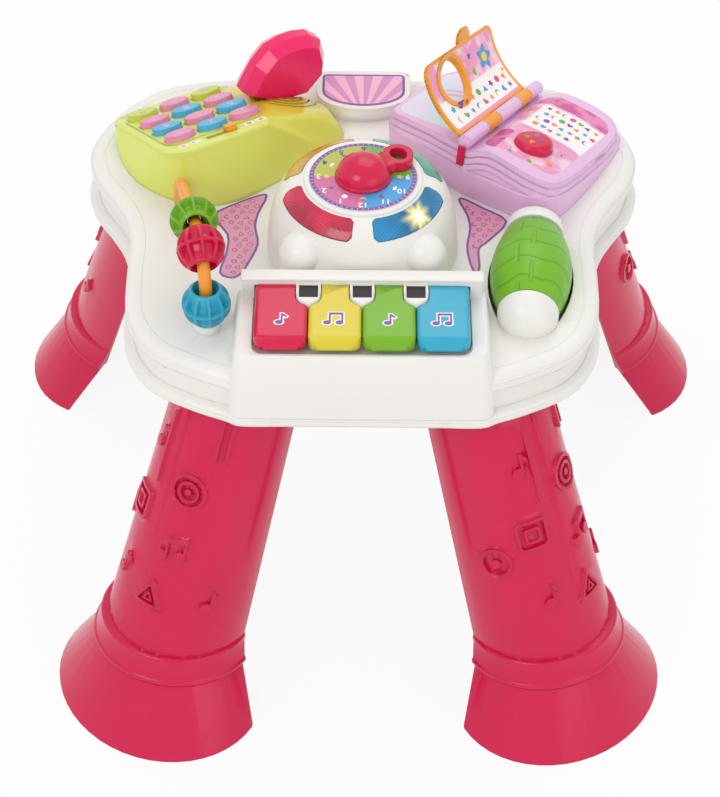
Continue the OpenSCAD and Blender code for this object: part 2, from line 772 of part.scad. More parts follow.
module lens_sector(k, gap) {
    a = gap / lens_r0 * 180 / PI;
    c = lens_corner / lens_r0 * 180 / PI;
    rotate(90 * k) translate([0, 0, deck_z + 20]) linear_extrude(dome_h) polygon(concat(
        [polar(lens_r1 - gap - lens_corner, lens_from + a)],
        arc(lens_r1 - gap, lens_from + a + c, lens_to - a - c, 12),
        [polar(lens_r1 - gap - lens_corner, lens_to - a)],
        [polar(lens_r0 + gap + lens_corner, lens_to - a)],
        reversed(arc(lens_r0 + gap, lens_from + a + c, lens_to - a - c, 12)),
        [polar(lens_r0 + gap + lens_corner, lens_from + a)]));
}

module dome_cover() {
    color("#f0ede8") at_dial() difference() {
        union() {
            dome_solid(0);
            apron(0);
            cheeks(0);
        }
        difference() {
            dome_solid(-wall);
            translate([0, 0, dome_top_z - wall]) cylinder(h = wall + 1, r = dome_r);
        }
        apron(wall);
        cheeks(wall);
        translate([0, 0, dome_top_z - wall - 1]) cylinder(h = wall + 2, r = dial_r - 2.5);
        for (k = [0:3]) lens_sector(k, 0);
    }
}

module lens(k) {
    at_dial() intersection() {
        lens_sector(k, 0.25);
        difference() {
            dome_solid(lens_proud);
            dome_solid(-wall);
        }
    }
}

module lens_green() { color("#5fb08f") lens(0); }
module lens_yellow() { color("#d9b24a") lens(1); }
module lens_red() { color("#c13e57") lens(2); }
module lens_blue() { color("#2797bc") lens(3); }

module dial_ring() {
    color("#f3f0ec") at_dial() rotate_extrude($fn = 96) polygon(concat(
        [[dial_r + 0.3, dome_top_z], [ring_r, dome_top_z]],
        arc(1.4, 0, 90, 5, [ring_r - 1.4, dome_top_z + ring_h - 1.4]),
        [[dial_r + 0.3, dome_top_z + ring_h - 0.4]]));
}

face_t = 2.5;
module dial_face() {
    color("#b7c95a") at_dial() difference() {
        translate([0, 0, dome_top_z]) cylinder(h = face_t, r = dial_r, $fn = 96);
        translate([0, 0, dome_top_z - 1]) cylinder(h = 9, r = shaft_r + running_gap);
    }
}

pointer_turn = 33;
pointer_z = dome_top_z + face_t + free_gap;
knob_h = 19;
arm_reach = 33;
eye_r = 12.5;
KNOB = concat([[0, 0], [knob_r + 1, 0], [knob_r + 1, 1.6], [knob_r, 2.2]],
              [for (a = [10:10:80]) [knob_r * cos(a), 2.2 + (knob_h - 2.2) * sin(a)]], [[0, knob_h]]);
module dial_pointer() {
    color("#db3560") at_dial() translate([0, 0, pointer_z]) rotate(pointer_turn) {
        difference() {
            union() {
                rotate_extrude($fn = 96) polygon(KNOB);
                linear_extrude(9) polygon([[0, -8.5], [arm_reach, -9.5], [arm_reach, 9.5], [0, 8.5]]);
                translate([arm_reach, 0, 0]) cylinder(h = 9, r = eye_r);
            }
            translate([arm_reach + 0.5, 0, -1]) linear_extrude(20) polygon(ellipse(6.6, 8, 24));
        }
        translate([0, 0, -face_t - 2 * free_gap - 4]) cylinder(h = face_t + 2 * free_gap + 5, r = shaft_r);
        translate([0, 0, -face_t - 2 * free_gap - 3]) cylinder(h = 2.6, r = shaft_r + 2.5);
    }
}

module light_board() {
    color("#e9e6dd") at_dial() translate([0, 0, board_ring_z]) {
        difference() {
            cylinder(h = board_t, r = board_ring_r);
            translate([0, 0, -1]) cylinder(h = 5, r = 26);
        }
        for (k = [0:3]) rotate(90 * k + 45) translate([(lens_r0 + lens_r1) / 2, 0, board_t - eps]) {
            cylinder(h = 4, r = 2.5);
            translate([0, 0, 4]) sphere(r = 2.5);
        }
    }
}

// ---- phone ------------------------------------------------------------------------------------

phone_mid_z = deck_z + phone_rise;
PHONE_BASE = smooth_loop([[-54, 41], [-65, 7], [-64, -24], [-51, -55], [-30, -77], [1, -84], [45, -77],
                          [85, -69], [114, -56], [121, -38], [112, -16], [95, 8], [68, 40], [33, 67],
                          [-31, 64]], 3);
PHONE_TOP = round_rect(-57, -72, 56, 62, 26, 6);
PHONE_END = smooth_loop([[60, -63], [84, -59], [104, -48], [109, -36], [102, -18], [86, 2], [72, 14],
                         [58, 8], [52, -28]], 3);
phone_end_z = deck_z + 24;

module at_phone() { translate([phone_x, phone_y, 0]) rotate(phone_turn) children(); }
module on_keypad() { at_phone() translate([0, 0, phone_mid_z]) rotate([-phone_tilt, 0, 0]) children(); }

module phone_form(d) {
    hull() {
        at_phone() translate([0, 0, deck_z - (d > 0 ? 1 : 0)])
            linear_extrude(1.5) polygon(inset(PHONE_BASE, d));
        on_keypad() translate([0, 0, -2 - d]) linear_extrude(2) polygon(inset(PHONE_TOP, d + 0.5));
        at_phone() translate([0, 0, phone_end_z - 2 - d]) linear_extrude(2) polygon(inset(PHONE_END, d));
    }
}

pad_t = 1.5;
flange_z = -wall - free_gap;
mat_z = flange_z - 6;
module at_button(i) {
    translate([(i % 3 - 1) * column_pitch, (floor(i / 3) - 1.5) * row_pitch, 0]) children();
}

slot_y = -1.5 * row_pitch - button_b - 8.6;
slot_len = 28;
slot_w = 5;
slider_rest = 8;

// Side view of the handset: along the phone, and up from the deck
HANDSET = [[54, 33], [76, 20], [105, 19], [112, 24], [125, 36], [127, 51], [123, 69], [113, 77], [101, 80],
           [88, 80], [73, 76], [60, 64], [46, 42]];
handset_y = 3;
cradle_x = 47;
module handset_slab(d, depth) {
    translate([0, handset_y + depth / 2, deck_z]) rotate([90, 0, 0]) linear_extrude(depth)
        polygon(inset(HANDSET, d));
}

module grille_slot_2d(r, w) {
    polygon(concat(arc(r + w, 212, 328, 16), reversed(arc(r, 212, 328, 16))));
}

module phone_base() {
    color("#cdd06a") difference() {
        union() {
            difference() {
                phone_form(0);
                difference() {
                    phone_form(wall);
                    at_phone() intersection() {
                        handset_slab(-wall - free_gap, handset_d + 2 * wall + 2 * free_gap);
                        translate([cradle_x, -100, deck_z + 14]) cube([100, 200, 90]);
                    }
                }
            }
            on_keypad() translate([0, 0, -1]) linear_extrude(pad_t + 1)
                polygon(round_rect(-column_pitch - 16, -1.5 * row_pitch - 11, column_pitch + 16,
                                   1.5 * row_pitch + 11, 12));
            on_keypad() for (x = [-1, 1]) for (y = [-1, 1])
                translate([x * column_pitch / 2, y * row_pitch, mat_z + 1])
                    cylinder(h = -mat_z - 1, r = 1.8);
        }
        on_keypad() for (i = [0:11]) at_button(i) translate([0, 0, -wall - 3])
            linear_extrude(wall + 8) polygon(ellipse(button_a + free_gap, button_b + free_gap));
        on_keypad() translate([-slot_len / 2, slot_y - slot_w / 2, -wall - 2]) cube([slot_len, slot_w, 10]);
        at_phone() for (i = [0:2]) translate([grille_x, grille_y, deck_z + 15])
            linear_extrude(60) grille_slot_2d(13 + 7 * i, 1.7);
        at_phone() handset_slab(-free_gap, handset_d + 2 * free_gap);
    }
}

button_rise = 5;
module phone_button(i) {
    on_keypad() at_button(i) {
        translate([0, 0, flange_z - 1.2]) linear_extrude(pad_t + button_rise - flange_z)
            polygon(ellipse(button_a, button_b));
        translate([0, 0, pad_t + button_rise - 1.2 - eps]) linear_extrude(0.8)
            polygon(ellipse(button_a - 0.8, button_b - 0.8));
        translate([0, 0, flange_z - 1.6]) linear_extrude(1.6)
            polygon(ellipse(button_a + 1.1, button_b + 1.1));
    }
}

pink = "#e6a9bf";
sky = "#6fb6d8";
lime = "#d2d878";
module phone_button_1() { color(pink) phone_button(0); }
module phone_button_2() { color(sky) phone_button(1); }
module phone_button_3() { color(pink) phone_button(2); }
module phone_button_4() { color(sky) phone_button(3); }
module phone_button_5() { color(pink) phone_button(4); }
module phone_button_6() { color(sky) phone_button(5); }
module phone_button_7() { color(pink) phone_button(6); }
module phone_button_8() { color(sky) phone_button(7); }
module phone_button_9() { color(pink) phone_button(8); }
module phone_button_10() { color(lime) phone_button(9); }
module phone_button_11() { color(pink) phone_button(10); }
module phone_button_12() { color(lime) phone_button(11); }

module keypad_mat() {
    color("#c4c6c8") on_keypad() {
        translate([0, 0, mat_z]) linear_extrude(1) polygon(round_rect(
            -column_pitch - 12, -1.5 * row_pitch - 8, column_pitch + 12, 1.5 * row_pitch + 8, 6));
        for (i = [0:11]) at_button(i) translate([0, 0, mat_z + 1 - eps])
            cylinder(h = 1.2, r1 = 4.5, r2 = 3.5);
    }
}

module mode_slider() {
    color("#efa046") on_keypad() translate([slider_rest, slot_y, 0]) {
        translate([-4.5, -4, free_gap]) cube([9, 8, 4.4]);
        translate([-3, -slot_w / 2 + free_gap, flange_z - 1]) cube([6, slot_w - 2 * free_gap, 5]);
        translate([-5, -4, flange_z - 1.6]) cube([10, 8, 1.6]);
    }
}

module handset_form(d) {
    hull() {
        handset_slab(d, handset_d / 3);
        handset_slab(d + 7, handset_d - 2 * d);
    }
}

module handset() {
    color("#e13460") at_phone() difference() {
        handset_form(0);
        handset_form(wall);
        translate([77, handset_y - 9, deck_z + 12]) cube([22, 18, 14]);
    }
}

// ---- book -------------------------------------------------------------------------------------

book_x = plate_x + 74.4;
book_y = 92.6;
book_mid_z = deck_z + book_rise;
BOOK = smooth_loop([[-6, -61], [4, -66], [30, -67], [60, -70], [80, -62], [87, -40], [88, 10], [85, 55],
                    [72, 73], [40, 75], [4, 70], [-6, 69], [-45, 67], [-74, 60], [-84, 40], [-85, 0],
                    [-83, -36], [-70, -48], [-40, -53]], 2);
// Height of the leaves' upper side, from left to right across the hinge
LEAF_TOP = [[-100, -11], [-86, -5], [-80, -2.2], [-70, -0.4], [-60, 0], [-6, 0], [2, -1], [8, 0.5], [15, 4.2],
            [25, 7.3], [40, 6], [55, 3.5], [63, 1.8], [70, 0], [80, -3.5], [88, -7], [100, -12]];
// The leaves' edges as [grow, depth of the top, depth of the underside]
LEAVES = [[0, 0, 5.1], [-1.5, 4.9, 6.1], [1, 5.9, 11.1], [-0.5, 10.9, 12.1], [2, 11.9, 16.9]];
leaf_t = 3.5;
leaves_bottom = -26;

function leaf_z(x) =
    let (k = max([for (i = [0:len(LEAF_TOP) - 2]) if (LEAF_TOP[i][0] <= x) i]),
         a = LEAF_TOP[k], b = LEAF_TOP[k + 1])
    a[1] + (b[1] - a[1]) * (x - a[0]) / (b[0] - a[0]);

// A layer of the leaves, from depth t0 to depth t1 under their upper side, or down to a level
module leaf_layer(grow, t0, t1, level = undef) {
    top = [for (p = LEAF_TOP) [p[0], p[1] - t0]];
    under = is_undef(level) ? [for (p = LEAF_TOP) [p[0], p[1] - t1]] : [for (p = LEAF_TOP) [p[0], level]];
    intersection() {
        translate([0, 0, leaves_bottom - 5]) linear_extrude(60) polygon(inset(BOOK, -grow));
        translate([0, 110, 0]) rotate([90, 0, 0]) linear_extrude(220) polygon(concat(top, reversed(under)));
    }
}

module at_book() { translate([book_x, book_y, 0]) rotate(book_turn) children(); }
module on_leaves() { at_book() translate([0, 0, book_mid_z]) rotate([-book_tilt, 0, 0]) children(); }

module book_foot(d) {
    hull() {
        at_book() translate([0, 0, deck_z - (d > 0 ? 1 : 0)]) linear_extrude(1.5) polygon(inset(BOOK, d - 3));
        on_leaves() translate([0, 0, -18]) linear_extrude(1.5) polygon(inset(BOOK, d - 2.5));
    }
}

hinge_z = knuckle_r + free_gap;
BOOK_KNUCKLES = [[-64, -30], [-8, 29], [48.5, 68]];
PAGE_KNUCKLES = [[-29.7, -8.3], [29.3, 48.2]];
button_x = 46;
button_y = -27;
button_top = 12;
button_seat = leaf_z(button_x + book_button_r + 2) - leaf_t - free_gap;

module along_hinge() { translate([0, 0, hinge_z]) rotate([-90, 0, 0]) children(); }

module knuckles(spans) {
    along_hinge() for (s = spans) translate([0, 0, s[0]]) cylinder(h = s[1] - s[0], r = knuckle_r);
}

module book_base() {
    color("#c39fd2") difference() {
        union() {
            book_foot(0);
            on_leaves() for (s = LEAVES) leaf_layer(s[0], s[1], s[2]);
            on_leaves() leaf_layer(0.5, 16.8, 0, leaves_bottom);
            on_leaves() knuckles(BOOK_KNUCKLES);
            on_leaves() for (s = BOOK_KNUCKLES)
                translate([-knuckle_r / 2, s[0], -3]) cube([knuckle_r, s[1] - s[0], hinge_z + 2]);
        }
        book_foot(wall + 1);
        level_cut(deck_z - 60, deck_z);
        on_leaves() leaf_layer(-6, leaf_t, 0, leaves_bottom - 1);
        on_leaves() translate([button_x, button_y, -30]) cylinder(h = 40, r = book_button_r + free_gap);
        on_leaves() along_hinge() translate([0, 0, BOOK_KNUCKLES[0][0] + 3])
            cylinder(h = 200, r = hinge_pin_r + running_gap / 3);
        on_leaves() translate([-3.2, -80, -14]) cube([6.4, 14, 17.5]);
    }
}

module bookmark() {
    color("#d8435f") on_leaves() translate([-3, -68.5, -13.8]) cube([6, 2.3, 17]);
}

module hinge_pin() {
    color("#b4b7bb") on_leaves() along_hinge() translate([0, 0, BOOK_KNUCKLES[0][0] + 3.4])
        cylinder(h = BOOK_KNUCKLES[2][1] - BOOK_KNUCKLES[0][0] - 4, r = hinge_pin_r);
}

module book_button() {
    color("#dd355e") on_leaves() translate([button_x, button_y, 0]) rotate_extrude() polygon(concat(
        [[0, button_seat - 3], [book_button_r + 2, button_seat - 3], [book_button_r + 2, button_seat],
         [book_button_r, button_seat]], arc(4, 0, 80, 5, [book_button_r - 4, button_top - 4.6]),
        [[0, button_top]]));
}

// The turning page is a shallow trough: part of a tube that lies along the hinge
page_bend_r = 75;
page_half_span = asin(page_w / 2 / page_bend_r);
page_y0 = -62;
hole_r = book_button_r + 2.5;
hole_at = button_x;
tab_r = 10;
tab_y = 6;
tab_span = 9.5;

// Places the tube's axis, with the page's middle towards -x
module at_bend() {
    along_hinge() rotate(page_angle) translate([-page_w / 2, 0, 0])
        rotate(90) translate([-page_bend_r * cos(page_half_span), 0, 0]) rotate(180) children();
}

module bent_sheet(t, from, to) {
    at_bend() rotate(from) translate([0, 0, page_y0]) rotate_extrude(angle = to - from, $fn = 128)
        translate([-page_bend_r - t / 2, 0]) square([t, page_len]);
}

// Places a point on the page: how far from the hinge, and where along it; z points off the page
module on_page(from_hinge, along) {
    along_hinge() rotate(page_angle) translate([-from_hinge, 0, along]) rotate([90, 0, 0]) children();
}

module page_sheet() {
    intersection() {
        bent_sheet(page_t, -page_half_span, page_half_span + tab_span);
        on_page(0, 0) translate([0, 0, -40]) linear_extrude(80) union() {
            polygon(round_rect(0.3 - page_w, page_y0, 14, page_y0 + page_len, 9));
            translate([-page_w, tab_y]) circle(tab_r);
        }
    }
}

module book_page() {
    color("#efa046") on_leaves() difference() {
        union() {
            difference() {
                page_sheet();
                along_hinge() for (s = BOOK_KNUCKLES) translate([0, 0, s[0] - free_gap])
                    cylinder(h = s[1] - s[0] + 2 * free_gap, r = knuckle_r + free_gap);
            }
            intersection() {
                bent_sheet(page_t + 2.4, -page_half_span, page_half_span + tab_span);
                on_page(hole_at, button_y) translate([0, 0, -40]) cylinder(h = 80, r = hole_r + 4.5);
            }
            knuckles(PAGE_KNUCKLES);
        }
        on_page(hole_at, button_y) translate([0, 0, -40]) cylinder(h = 80, r = hole_r);
        along_hinge() translate([0, 0, -100]) cylinder(h = 200, r = hinge_pin_r + running_gap);
    }
}

// ---- roller -----------------------------------------------------------------------------------

module at_roller() { at_roller_plan() translate([0, 0, roller_z]) rotate([90, 0, 0]) children(); }
ROLLER_CURVE = roller_profile(0, roller_len / 2 - 0.5);

module roller_barrel() {
    h = roller_len / 2 - 0.5;
    color("#8fbe40") at_roller() rotate_extrude($fn = 96) polygon(concat(
        [[axle_r + running_gap, -h]], ROLLER_CURVE, [[axle_r + running_gap, h]],
        [[axle_r + running_gap, h - wall]],
        [for (p = reversed(ROLLER_CURVE)) [p[0] - wall, p[1] * (1 - wall / h)]],
        [[axle_r + running_gap, wall - h]]));
}

module roller_axle() {
    color("#b4b7bb") at_roller() translate([0, 0, -roller_len / 2 - 9])
        cylinder(h = roller_len + 22, r = axle_r);
}

bearing_r = roller_end_r + 1;
bearing_y = roller_len / 2 + roller_gap;

// A round cap that holds the axle's end: its ball's centre, the space it fills and its bore, along the axle
module roller_bearing(centre, from, to, bore_from, bore_to) {
    at_roller_plan() difference() {
        intersection() {
            translate([0, centre, roller_z]) sphere(r = bearing_r, $fn = 96);
            translate([-50, from, deck_z]) cube([100, to - from, 60]);
        }
        translate([0, bore_from, roller_z]) rotate([-90, 0, 0])
            cylinder(h = bore_to - bore_from, r = axle_r + running_gap / 3);
    }
}

module roller_bearing_front() {
    color("#f0ede8") roller_bearing(-bearing_y, -bearing_y - 40, -bearing_y, -bearing_y - 14, 1 - bearing_y);
}
module roller_bearing_back() {
    color("#f0ede8") roller_bearing(bearing_y + 4, bearing_y, bearing_y + 12, bearing_y - 14, bearing_y + 10);
}

// ---- bead rail --------------------------------------------------------------------------------

rail_slope = 17;
back_bend_r = 34;
rail_x1 = rail_bend_r * (1 + sin(rail_slope));
rail_z1 = rail_rise + rail_bend_r * cos(rail_slope);
rail_x2 = rail_span - back_bend_r * (1 - sin(rail_slope));
rail_z2 = rail_z1 - (rail_x2 - rail_x1) * tan(rail_slope);
run_len = (rail_x2 - rail_x1) / cos(rail_slope);

// A bend in the rail's plane: r, its centre [x, z], and the turn between two angles
module bend(r, c, from, to) {
    translate([c[0], 0, c[1]]) rotate([90, 0, 0]) rotate(from)
        rotate_extrude(angle = to - from, $fn = 96) translate([r, 0]) circle(rod_r, $fn = 48);
}

back_bend_z = rail_z2 - back_bend_r * cos(rail_slope);
weld = 0.2;
module weld_ring() { translate([0, 0, -1]) cylinder(h = 2, r = rod_r + weld, $fn = 48); }

module bead_rail() {
    color("#efa248") at_rail() {
        cylinder(h = rail_rise, r = rod_r, $fn = 48);
        translate([0, 0, rail_rise]) weld_ring();
        bend(rail_bend_r, [rail_bend_r, rail_rise], 90 - rail_slope, 180);
        translate([rail_x1, 0, rail_z1]) rotate([0, 90 + rail_slope, 0]) {
            weld_ring();
            cylinder(h = run_len, r = rod_r, $fn = 48);
            translate([0, 0, run_len]) weld_ring();
        }
        bend(back_bend_r, [rail_span - back_bend_r, back_bend_z], 0, 90 - rail_slope);
        translate([rail_span, 0, 0]) cylinder(h = back_bend_z, r = rod_r, $fn = 48);
        translate([rail_span, 0, back_bend_z]) weld_ring();
    }
}

bead_mouth = 0.54 * bead_r;
fin_t = 2.6;
fin_count = 10;
module bead() {
    h = bead_len / 2;
    difference() {
        union() {
            sphere(r = bead_r - 4.6);
            intersection() {
                sphere(r = bead_r);
                union() {
                    for (i = [0:fin_count / 2 - 1]) rotate(i * 360 / fin_count)
                        cube([2 * bead_r, fin_t, 2 * bead_r], center = true);
                    cube([2 * bead_r, 2 * bead_r, fin_t], center = true);
                    cylinder(h = 2 * bead_r, r = bead_mouth + 2.6, center = true);
                }
            }
        }
        for (s = [-1, 1]) {
            translate([0, 0, s * (h + 20)]) cube([60, 60, 40], center = true);
            rotate([s < 0 ? 180 : 0, 0, 0]) translate([0, 0, -eps])
                cylinder(h = h + 1, r1 = rod_r + 0.35, r2 = bead_mouth + 0.3);
        }
    }
}

bend_bead_turn = 63;
module bead_blue() { color("#58b8d1") at_rail() translate([0, 0, boss_h + free_gap + bead_len / 2]) bead(); }
module bead_red() {
    color("#d62f58") at_rail() translate([rail_bend_r, 0, rail_rise]) rotate([0, bend_bead_turn, 0])
        translate([-rail_bend_r, 0, 0]) bead();
}
green_at = 12.5;
module bead_green() {
    color("#8fbe40") at_rail() translate([rail_x1, 0, rail_z1]) rotate([0, 90 + rail_slope, 0])
        translate([0, 0, green_at]) bead();
}

top_casing();
bottom_casing();
leg_front_left();
leg_front_right();
leg_back_left();
leg_back_right();
piano_key_red();
piano_key_yellow();
piano_key_green();
piano_key_blue();
key_pin();
key_contact_mat();
black_keys();
dome_cover();
dial_ring();
dial_face();
dial_pointer();
lens_red();
lens_blue();
lens_yellow();
lens_green();
light_board();
phone_base();
phone_button_1();
phone_button_2();
phone_button_3();
phone_button_4();
phone_button_5();
phone_button_6();
phone_button_7();
phone_button_8();
phone_button_9();
phone_button_10();
phone_button_11();
phone_button_12();
keypad_mat();
mode_slider();
handset();
book_base();
book_page();
hinge_pin();
book_button();
bookmark();
roller_barrel();
roller_axle();
roller_bearing_front();
roller_bearing_back();
bead_rail();
bead_blue();
bead_red();
bead_green();
nameplate();
label_left();
label_right();
battery_door();
batteries();
battery_contacts();
circuit_board();
speaker();
casing_screws();
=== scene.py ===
"""Looks of a child's musical activity table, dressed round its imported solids.

Everything is in metres, in the frame of the solids: the origin is on the floor under the
middle of the table, +Z is up and the piano is on the -Y side.
"""

import json
import logging
import math
from dataclasses import dataclass, field
from enum import Enum
from functools import lru_cache
from typing import Callable, Iterable, Sequence

import bmesh
import bpy
from mathutils import Matrix, Vector
from mathutils.bvhtree import BVHTree

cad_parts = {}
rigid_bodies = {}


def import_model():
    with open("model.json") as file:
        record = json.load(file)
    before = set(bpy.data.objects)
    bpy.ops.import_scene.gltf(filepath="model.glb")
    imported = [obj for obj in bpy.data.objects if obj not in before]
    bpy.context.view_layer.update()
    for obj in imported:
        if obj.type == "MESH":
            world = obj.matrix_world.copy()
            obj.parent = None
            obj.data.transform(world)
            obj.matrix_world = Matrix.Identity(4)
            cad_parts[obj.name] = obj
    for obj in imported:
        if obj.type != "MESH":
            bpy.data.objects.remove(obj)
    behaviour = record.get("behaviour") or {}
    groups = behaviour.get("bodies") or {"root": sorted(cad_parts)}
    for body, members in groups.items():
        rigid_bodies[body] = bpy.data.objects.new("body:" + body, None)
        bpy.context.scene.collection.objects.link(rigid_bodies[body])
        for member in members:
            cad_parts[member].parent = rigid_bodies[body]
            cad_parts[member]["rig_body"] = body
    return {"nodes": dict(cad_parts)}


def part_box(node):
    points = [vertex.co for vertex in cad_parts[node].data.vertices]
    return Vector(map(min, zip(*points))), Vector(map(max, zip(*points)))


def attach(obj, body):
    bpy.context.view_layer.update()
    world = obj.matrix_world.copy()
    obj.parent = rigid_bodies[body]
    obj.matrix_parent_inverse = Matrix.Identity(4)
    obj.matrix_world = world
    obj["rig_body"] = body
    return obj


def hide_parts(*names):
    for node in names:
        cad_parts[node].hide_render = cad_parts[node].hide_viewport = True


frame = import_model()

LOG = logging.getLogger("activity_table")
MM = 0.001
UPWARD = 0.95  # the least z of a normal that looks up
DARK = (0.0, 0.0, 0.0, 1.0)
LIGHT = (1.0, 1.0, 1.0, 1.0)
Point = tuple[float, float]
Spot = tuple[float, float, float]
Colour = tuple[float, float, float, float]
Warp = Callable[[Vector], Vector]


# ---- colours and shader sums ------------------------------------------------------------------


def linear(code: str) -> Colour:
    """Turns a screen colour into the shader's linear one.

    Args:
        code: Six hexadecimal digits.

    Returns:
        Red, green, blue and an alpha of 1.
    """
    parts = [int(code[i : i + 2], 16) / 255 for i in (0, 2, 4)]
    red, green, blue = (
        c / 12.92 if c <= 0.04045 else ((c + 0.055) / 1.055) ** 2.4 for c in parts
    )
    return red, green, blue, 1.0


def shade(colour: Sequence[float], factor: float) -> Colour:
    """Scales a linear colour, keeping it under full white."""
    red, green, blue = (min(c * factor, 0.95) for c in colour[:3])
    return red, green, blue, 1.0


class Wire:
    """A number flowing through a node tree, which Python's operators combine."""

    def __init__(self, shader: "Shader", socket: bpy.types.NodeSocket) -> None:
        """Keeps the tree and the output socket."""
        self.shader = shader
        self.socket = socket

    def math(self, operation: str, *others: "Wire | float") -> "Wire":
        """Feeds this value and others to a Math node.

        Args:
            operation: The Math node's operation.
            others: Its second and third values.

        Returns:
            The node's result.
        """
        values = dict(enumerate((self, *others)))
        return self.shader.node("ShaderNodeMath", {"operation": operation}, values)

    def __add__(self, other: "Wire | float") -> "Wire":
        """Adds."""
        return self.math("ADD", other)

    __radd__ = __add__

    def __mul__(self, other: "Wire | float") -> "Wire":
        """Multiplies."""
        return self.math("MULTIPLY", other)

    __rmul__ = __mul__

    def __sub__(self, other: "Wire | float") -> "Wire":
        """Subtracts the other value."""
        return self.math("SUBTRACT", other)

    def __rsub__(self, other: float) -> "Wire":
        """Subtracts this from a number."""
        return self.math("MULTIPLY_ADD", -1.0, other)

    def above(self, limit: float) -> "Wire":
        """Is 1 where the value is over the limit."""
        return self.math("GREATER_THAN", limit)

    def below(self, limit: float) -> "Wire":
        """Is 1 where the value is under the limit."""
        return self.math("LESS_THAN", limit)

    def sine(self) -> "Wire":
        """Takes the sine."""
        return self.math("SINE")

    def clamped(self) -> "Wire":
        """Holds the value between 0 and 1."""
        return self.math("MAXIMUM", 0.0).math("MINIMUM", 1.0)


class Shader:
    """A material under construction."""

    def __init__(self, name: str, kind: str = "materials") -> None:
        """Makes an empty material or world and finds its surface node.

        Args:
            name: Its name.
            kind: "materials" or "worlds".
        """
        self.material = getattr(bpy.data, kind).new(name)
        self.material.use_nodes = True
        self.tree = self.material.node_tree
        self.surface = next(n for n in self.tree.nodes if n.type in ("BSDF_PRINCIPLED", "BACKGROUND"))

    def node(
        self, kind: str, settings: dict | None = None, values: dict | None = None, out: int | str = 0
    ) -> Wire:
        """Adds a node.

        Args:
            kind: The node's type.
            settings: Its attributes.
            values: A number, colour or Wire for each input, by name or index.
            out: The output that is returned.

        Returns:
            The chosen output.
        """
        made = self.tree.nodes.new(kind)
        for key, value in (settings or {}).items():
            setattr(made, key, value)
        for key, value in (values or {}).items():
            if isinstance(value, Wire):
                self.tree.links.new(value.socket, made.inputs[key])
            else:
                made.inputs[key].default_value = value
        return Wire(self, made.outputs[out])

    def place(self) -> Wire:
        """Gives the object coordinates."""
        return self.node("ShaderNodeTexCoord", out="Object")

    def axes(self, centre: Sequence[float] = (0, 0, 0), turn: Sequence[float] = (0, 0, 0)) -> list[Wire]:
        """Gives x, y and z measured from a centre, on turned axes.

        Args:
            centre: The new origin, in metres.
            turn: Euler angles of the new axes, in radians.

        Returns:
            The three coordinates.
        """
        moved = self.node(
            "ShaderNodeMapping",
            {"vector_type": "TEXTURE"},
            {"Vector": self.place(), "Location": centre, "Rotation": turn},
        )
        split = self.node("ShaderNodeSeparateXYZ", values={0: moved})
        return [Wire(self, split.socket.node.outputs[i]) for i in range(3)]

    def noise(self, scale: float, detail: float = 2.0, rough: float = 0.5) -> Wire:
        """Adds a cloudy noise between about 0.3 and 0.7."""
        values = {"Vector": self.place(), "Scale": scale, "Detail": detail, "Roughness": rough}
        return self.node("ShaderNodeTexNoise", values=values)

    def blots(self, scale: float) -> Wire:
        """Gives soft patches between 0 and 1."""
        return ((self.noise(scale, 2.0) - 0.46) * 6.0).clamped()

    def seen(self) -> Wire:
        """Is 1 for what the camera sees, straight or through gloss and glass."""
        kinds = ("Camera", "Glossy", "Transmission")
        rays = [self.node("ShaderNodeLightPath", out=f"Is {kind} Ray") for kind in kinds]
        return rays[0].math("MAXIMUM", rays[1]).math("MAXIMUM", rays[2])

    def mix(self, factor: "Wire | float", first: object, second: object) -> Wire:
        """Mixes two colours.

        Args:
            factor: How much of the second.
            first: A colour or a Wire.
            second: A colour or a Wire.

        Returns:
            The mixed colour.
        """
        settings = {"data_type": "RGBA"}
        return self.node("ShaderNodeMix", settings, {0: factor, 6: first, 7: second}, out=2)

    def relief(
        self, height: Wire, strength: float, distance: float, edge: float, invert: bool = False
    ) -> Wire:
        """Raises the surface by a height and eases its edges.

        Args:
            height: The height.
            strength: How much of it shows.
            distance: The height that 1 stands for, in metres.
            edge: The radius of the eased edges, in metres.
            invert: Cuts in instead.

        Returns:
            The normal.
        """
        soft = self.node("ShaderNodeBevel", {"samples": 4}, {"Radius": edge})
        values = {"Strength": strength, "Distance": distance, "Height": height, "Normal": soft}
        return self.node("ShaderNodeBump", {"invert": invert}, values)

    def feed(self, **values: object) -> None:
        """Sets or links the surface's inputs; an underscore in a name stands for a space."""
        for key, value in values.items():
            socket = self.surface.inputs[key.replace("_", " ")]
            if isinstance(value, Wire):
                self.tree.links.new(value.socket, socket)
            else:
                socket.default_value = value


# ---- finishes ---------------------------------------------------------------------------------


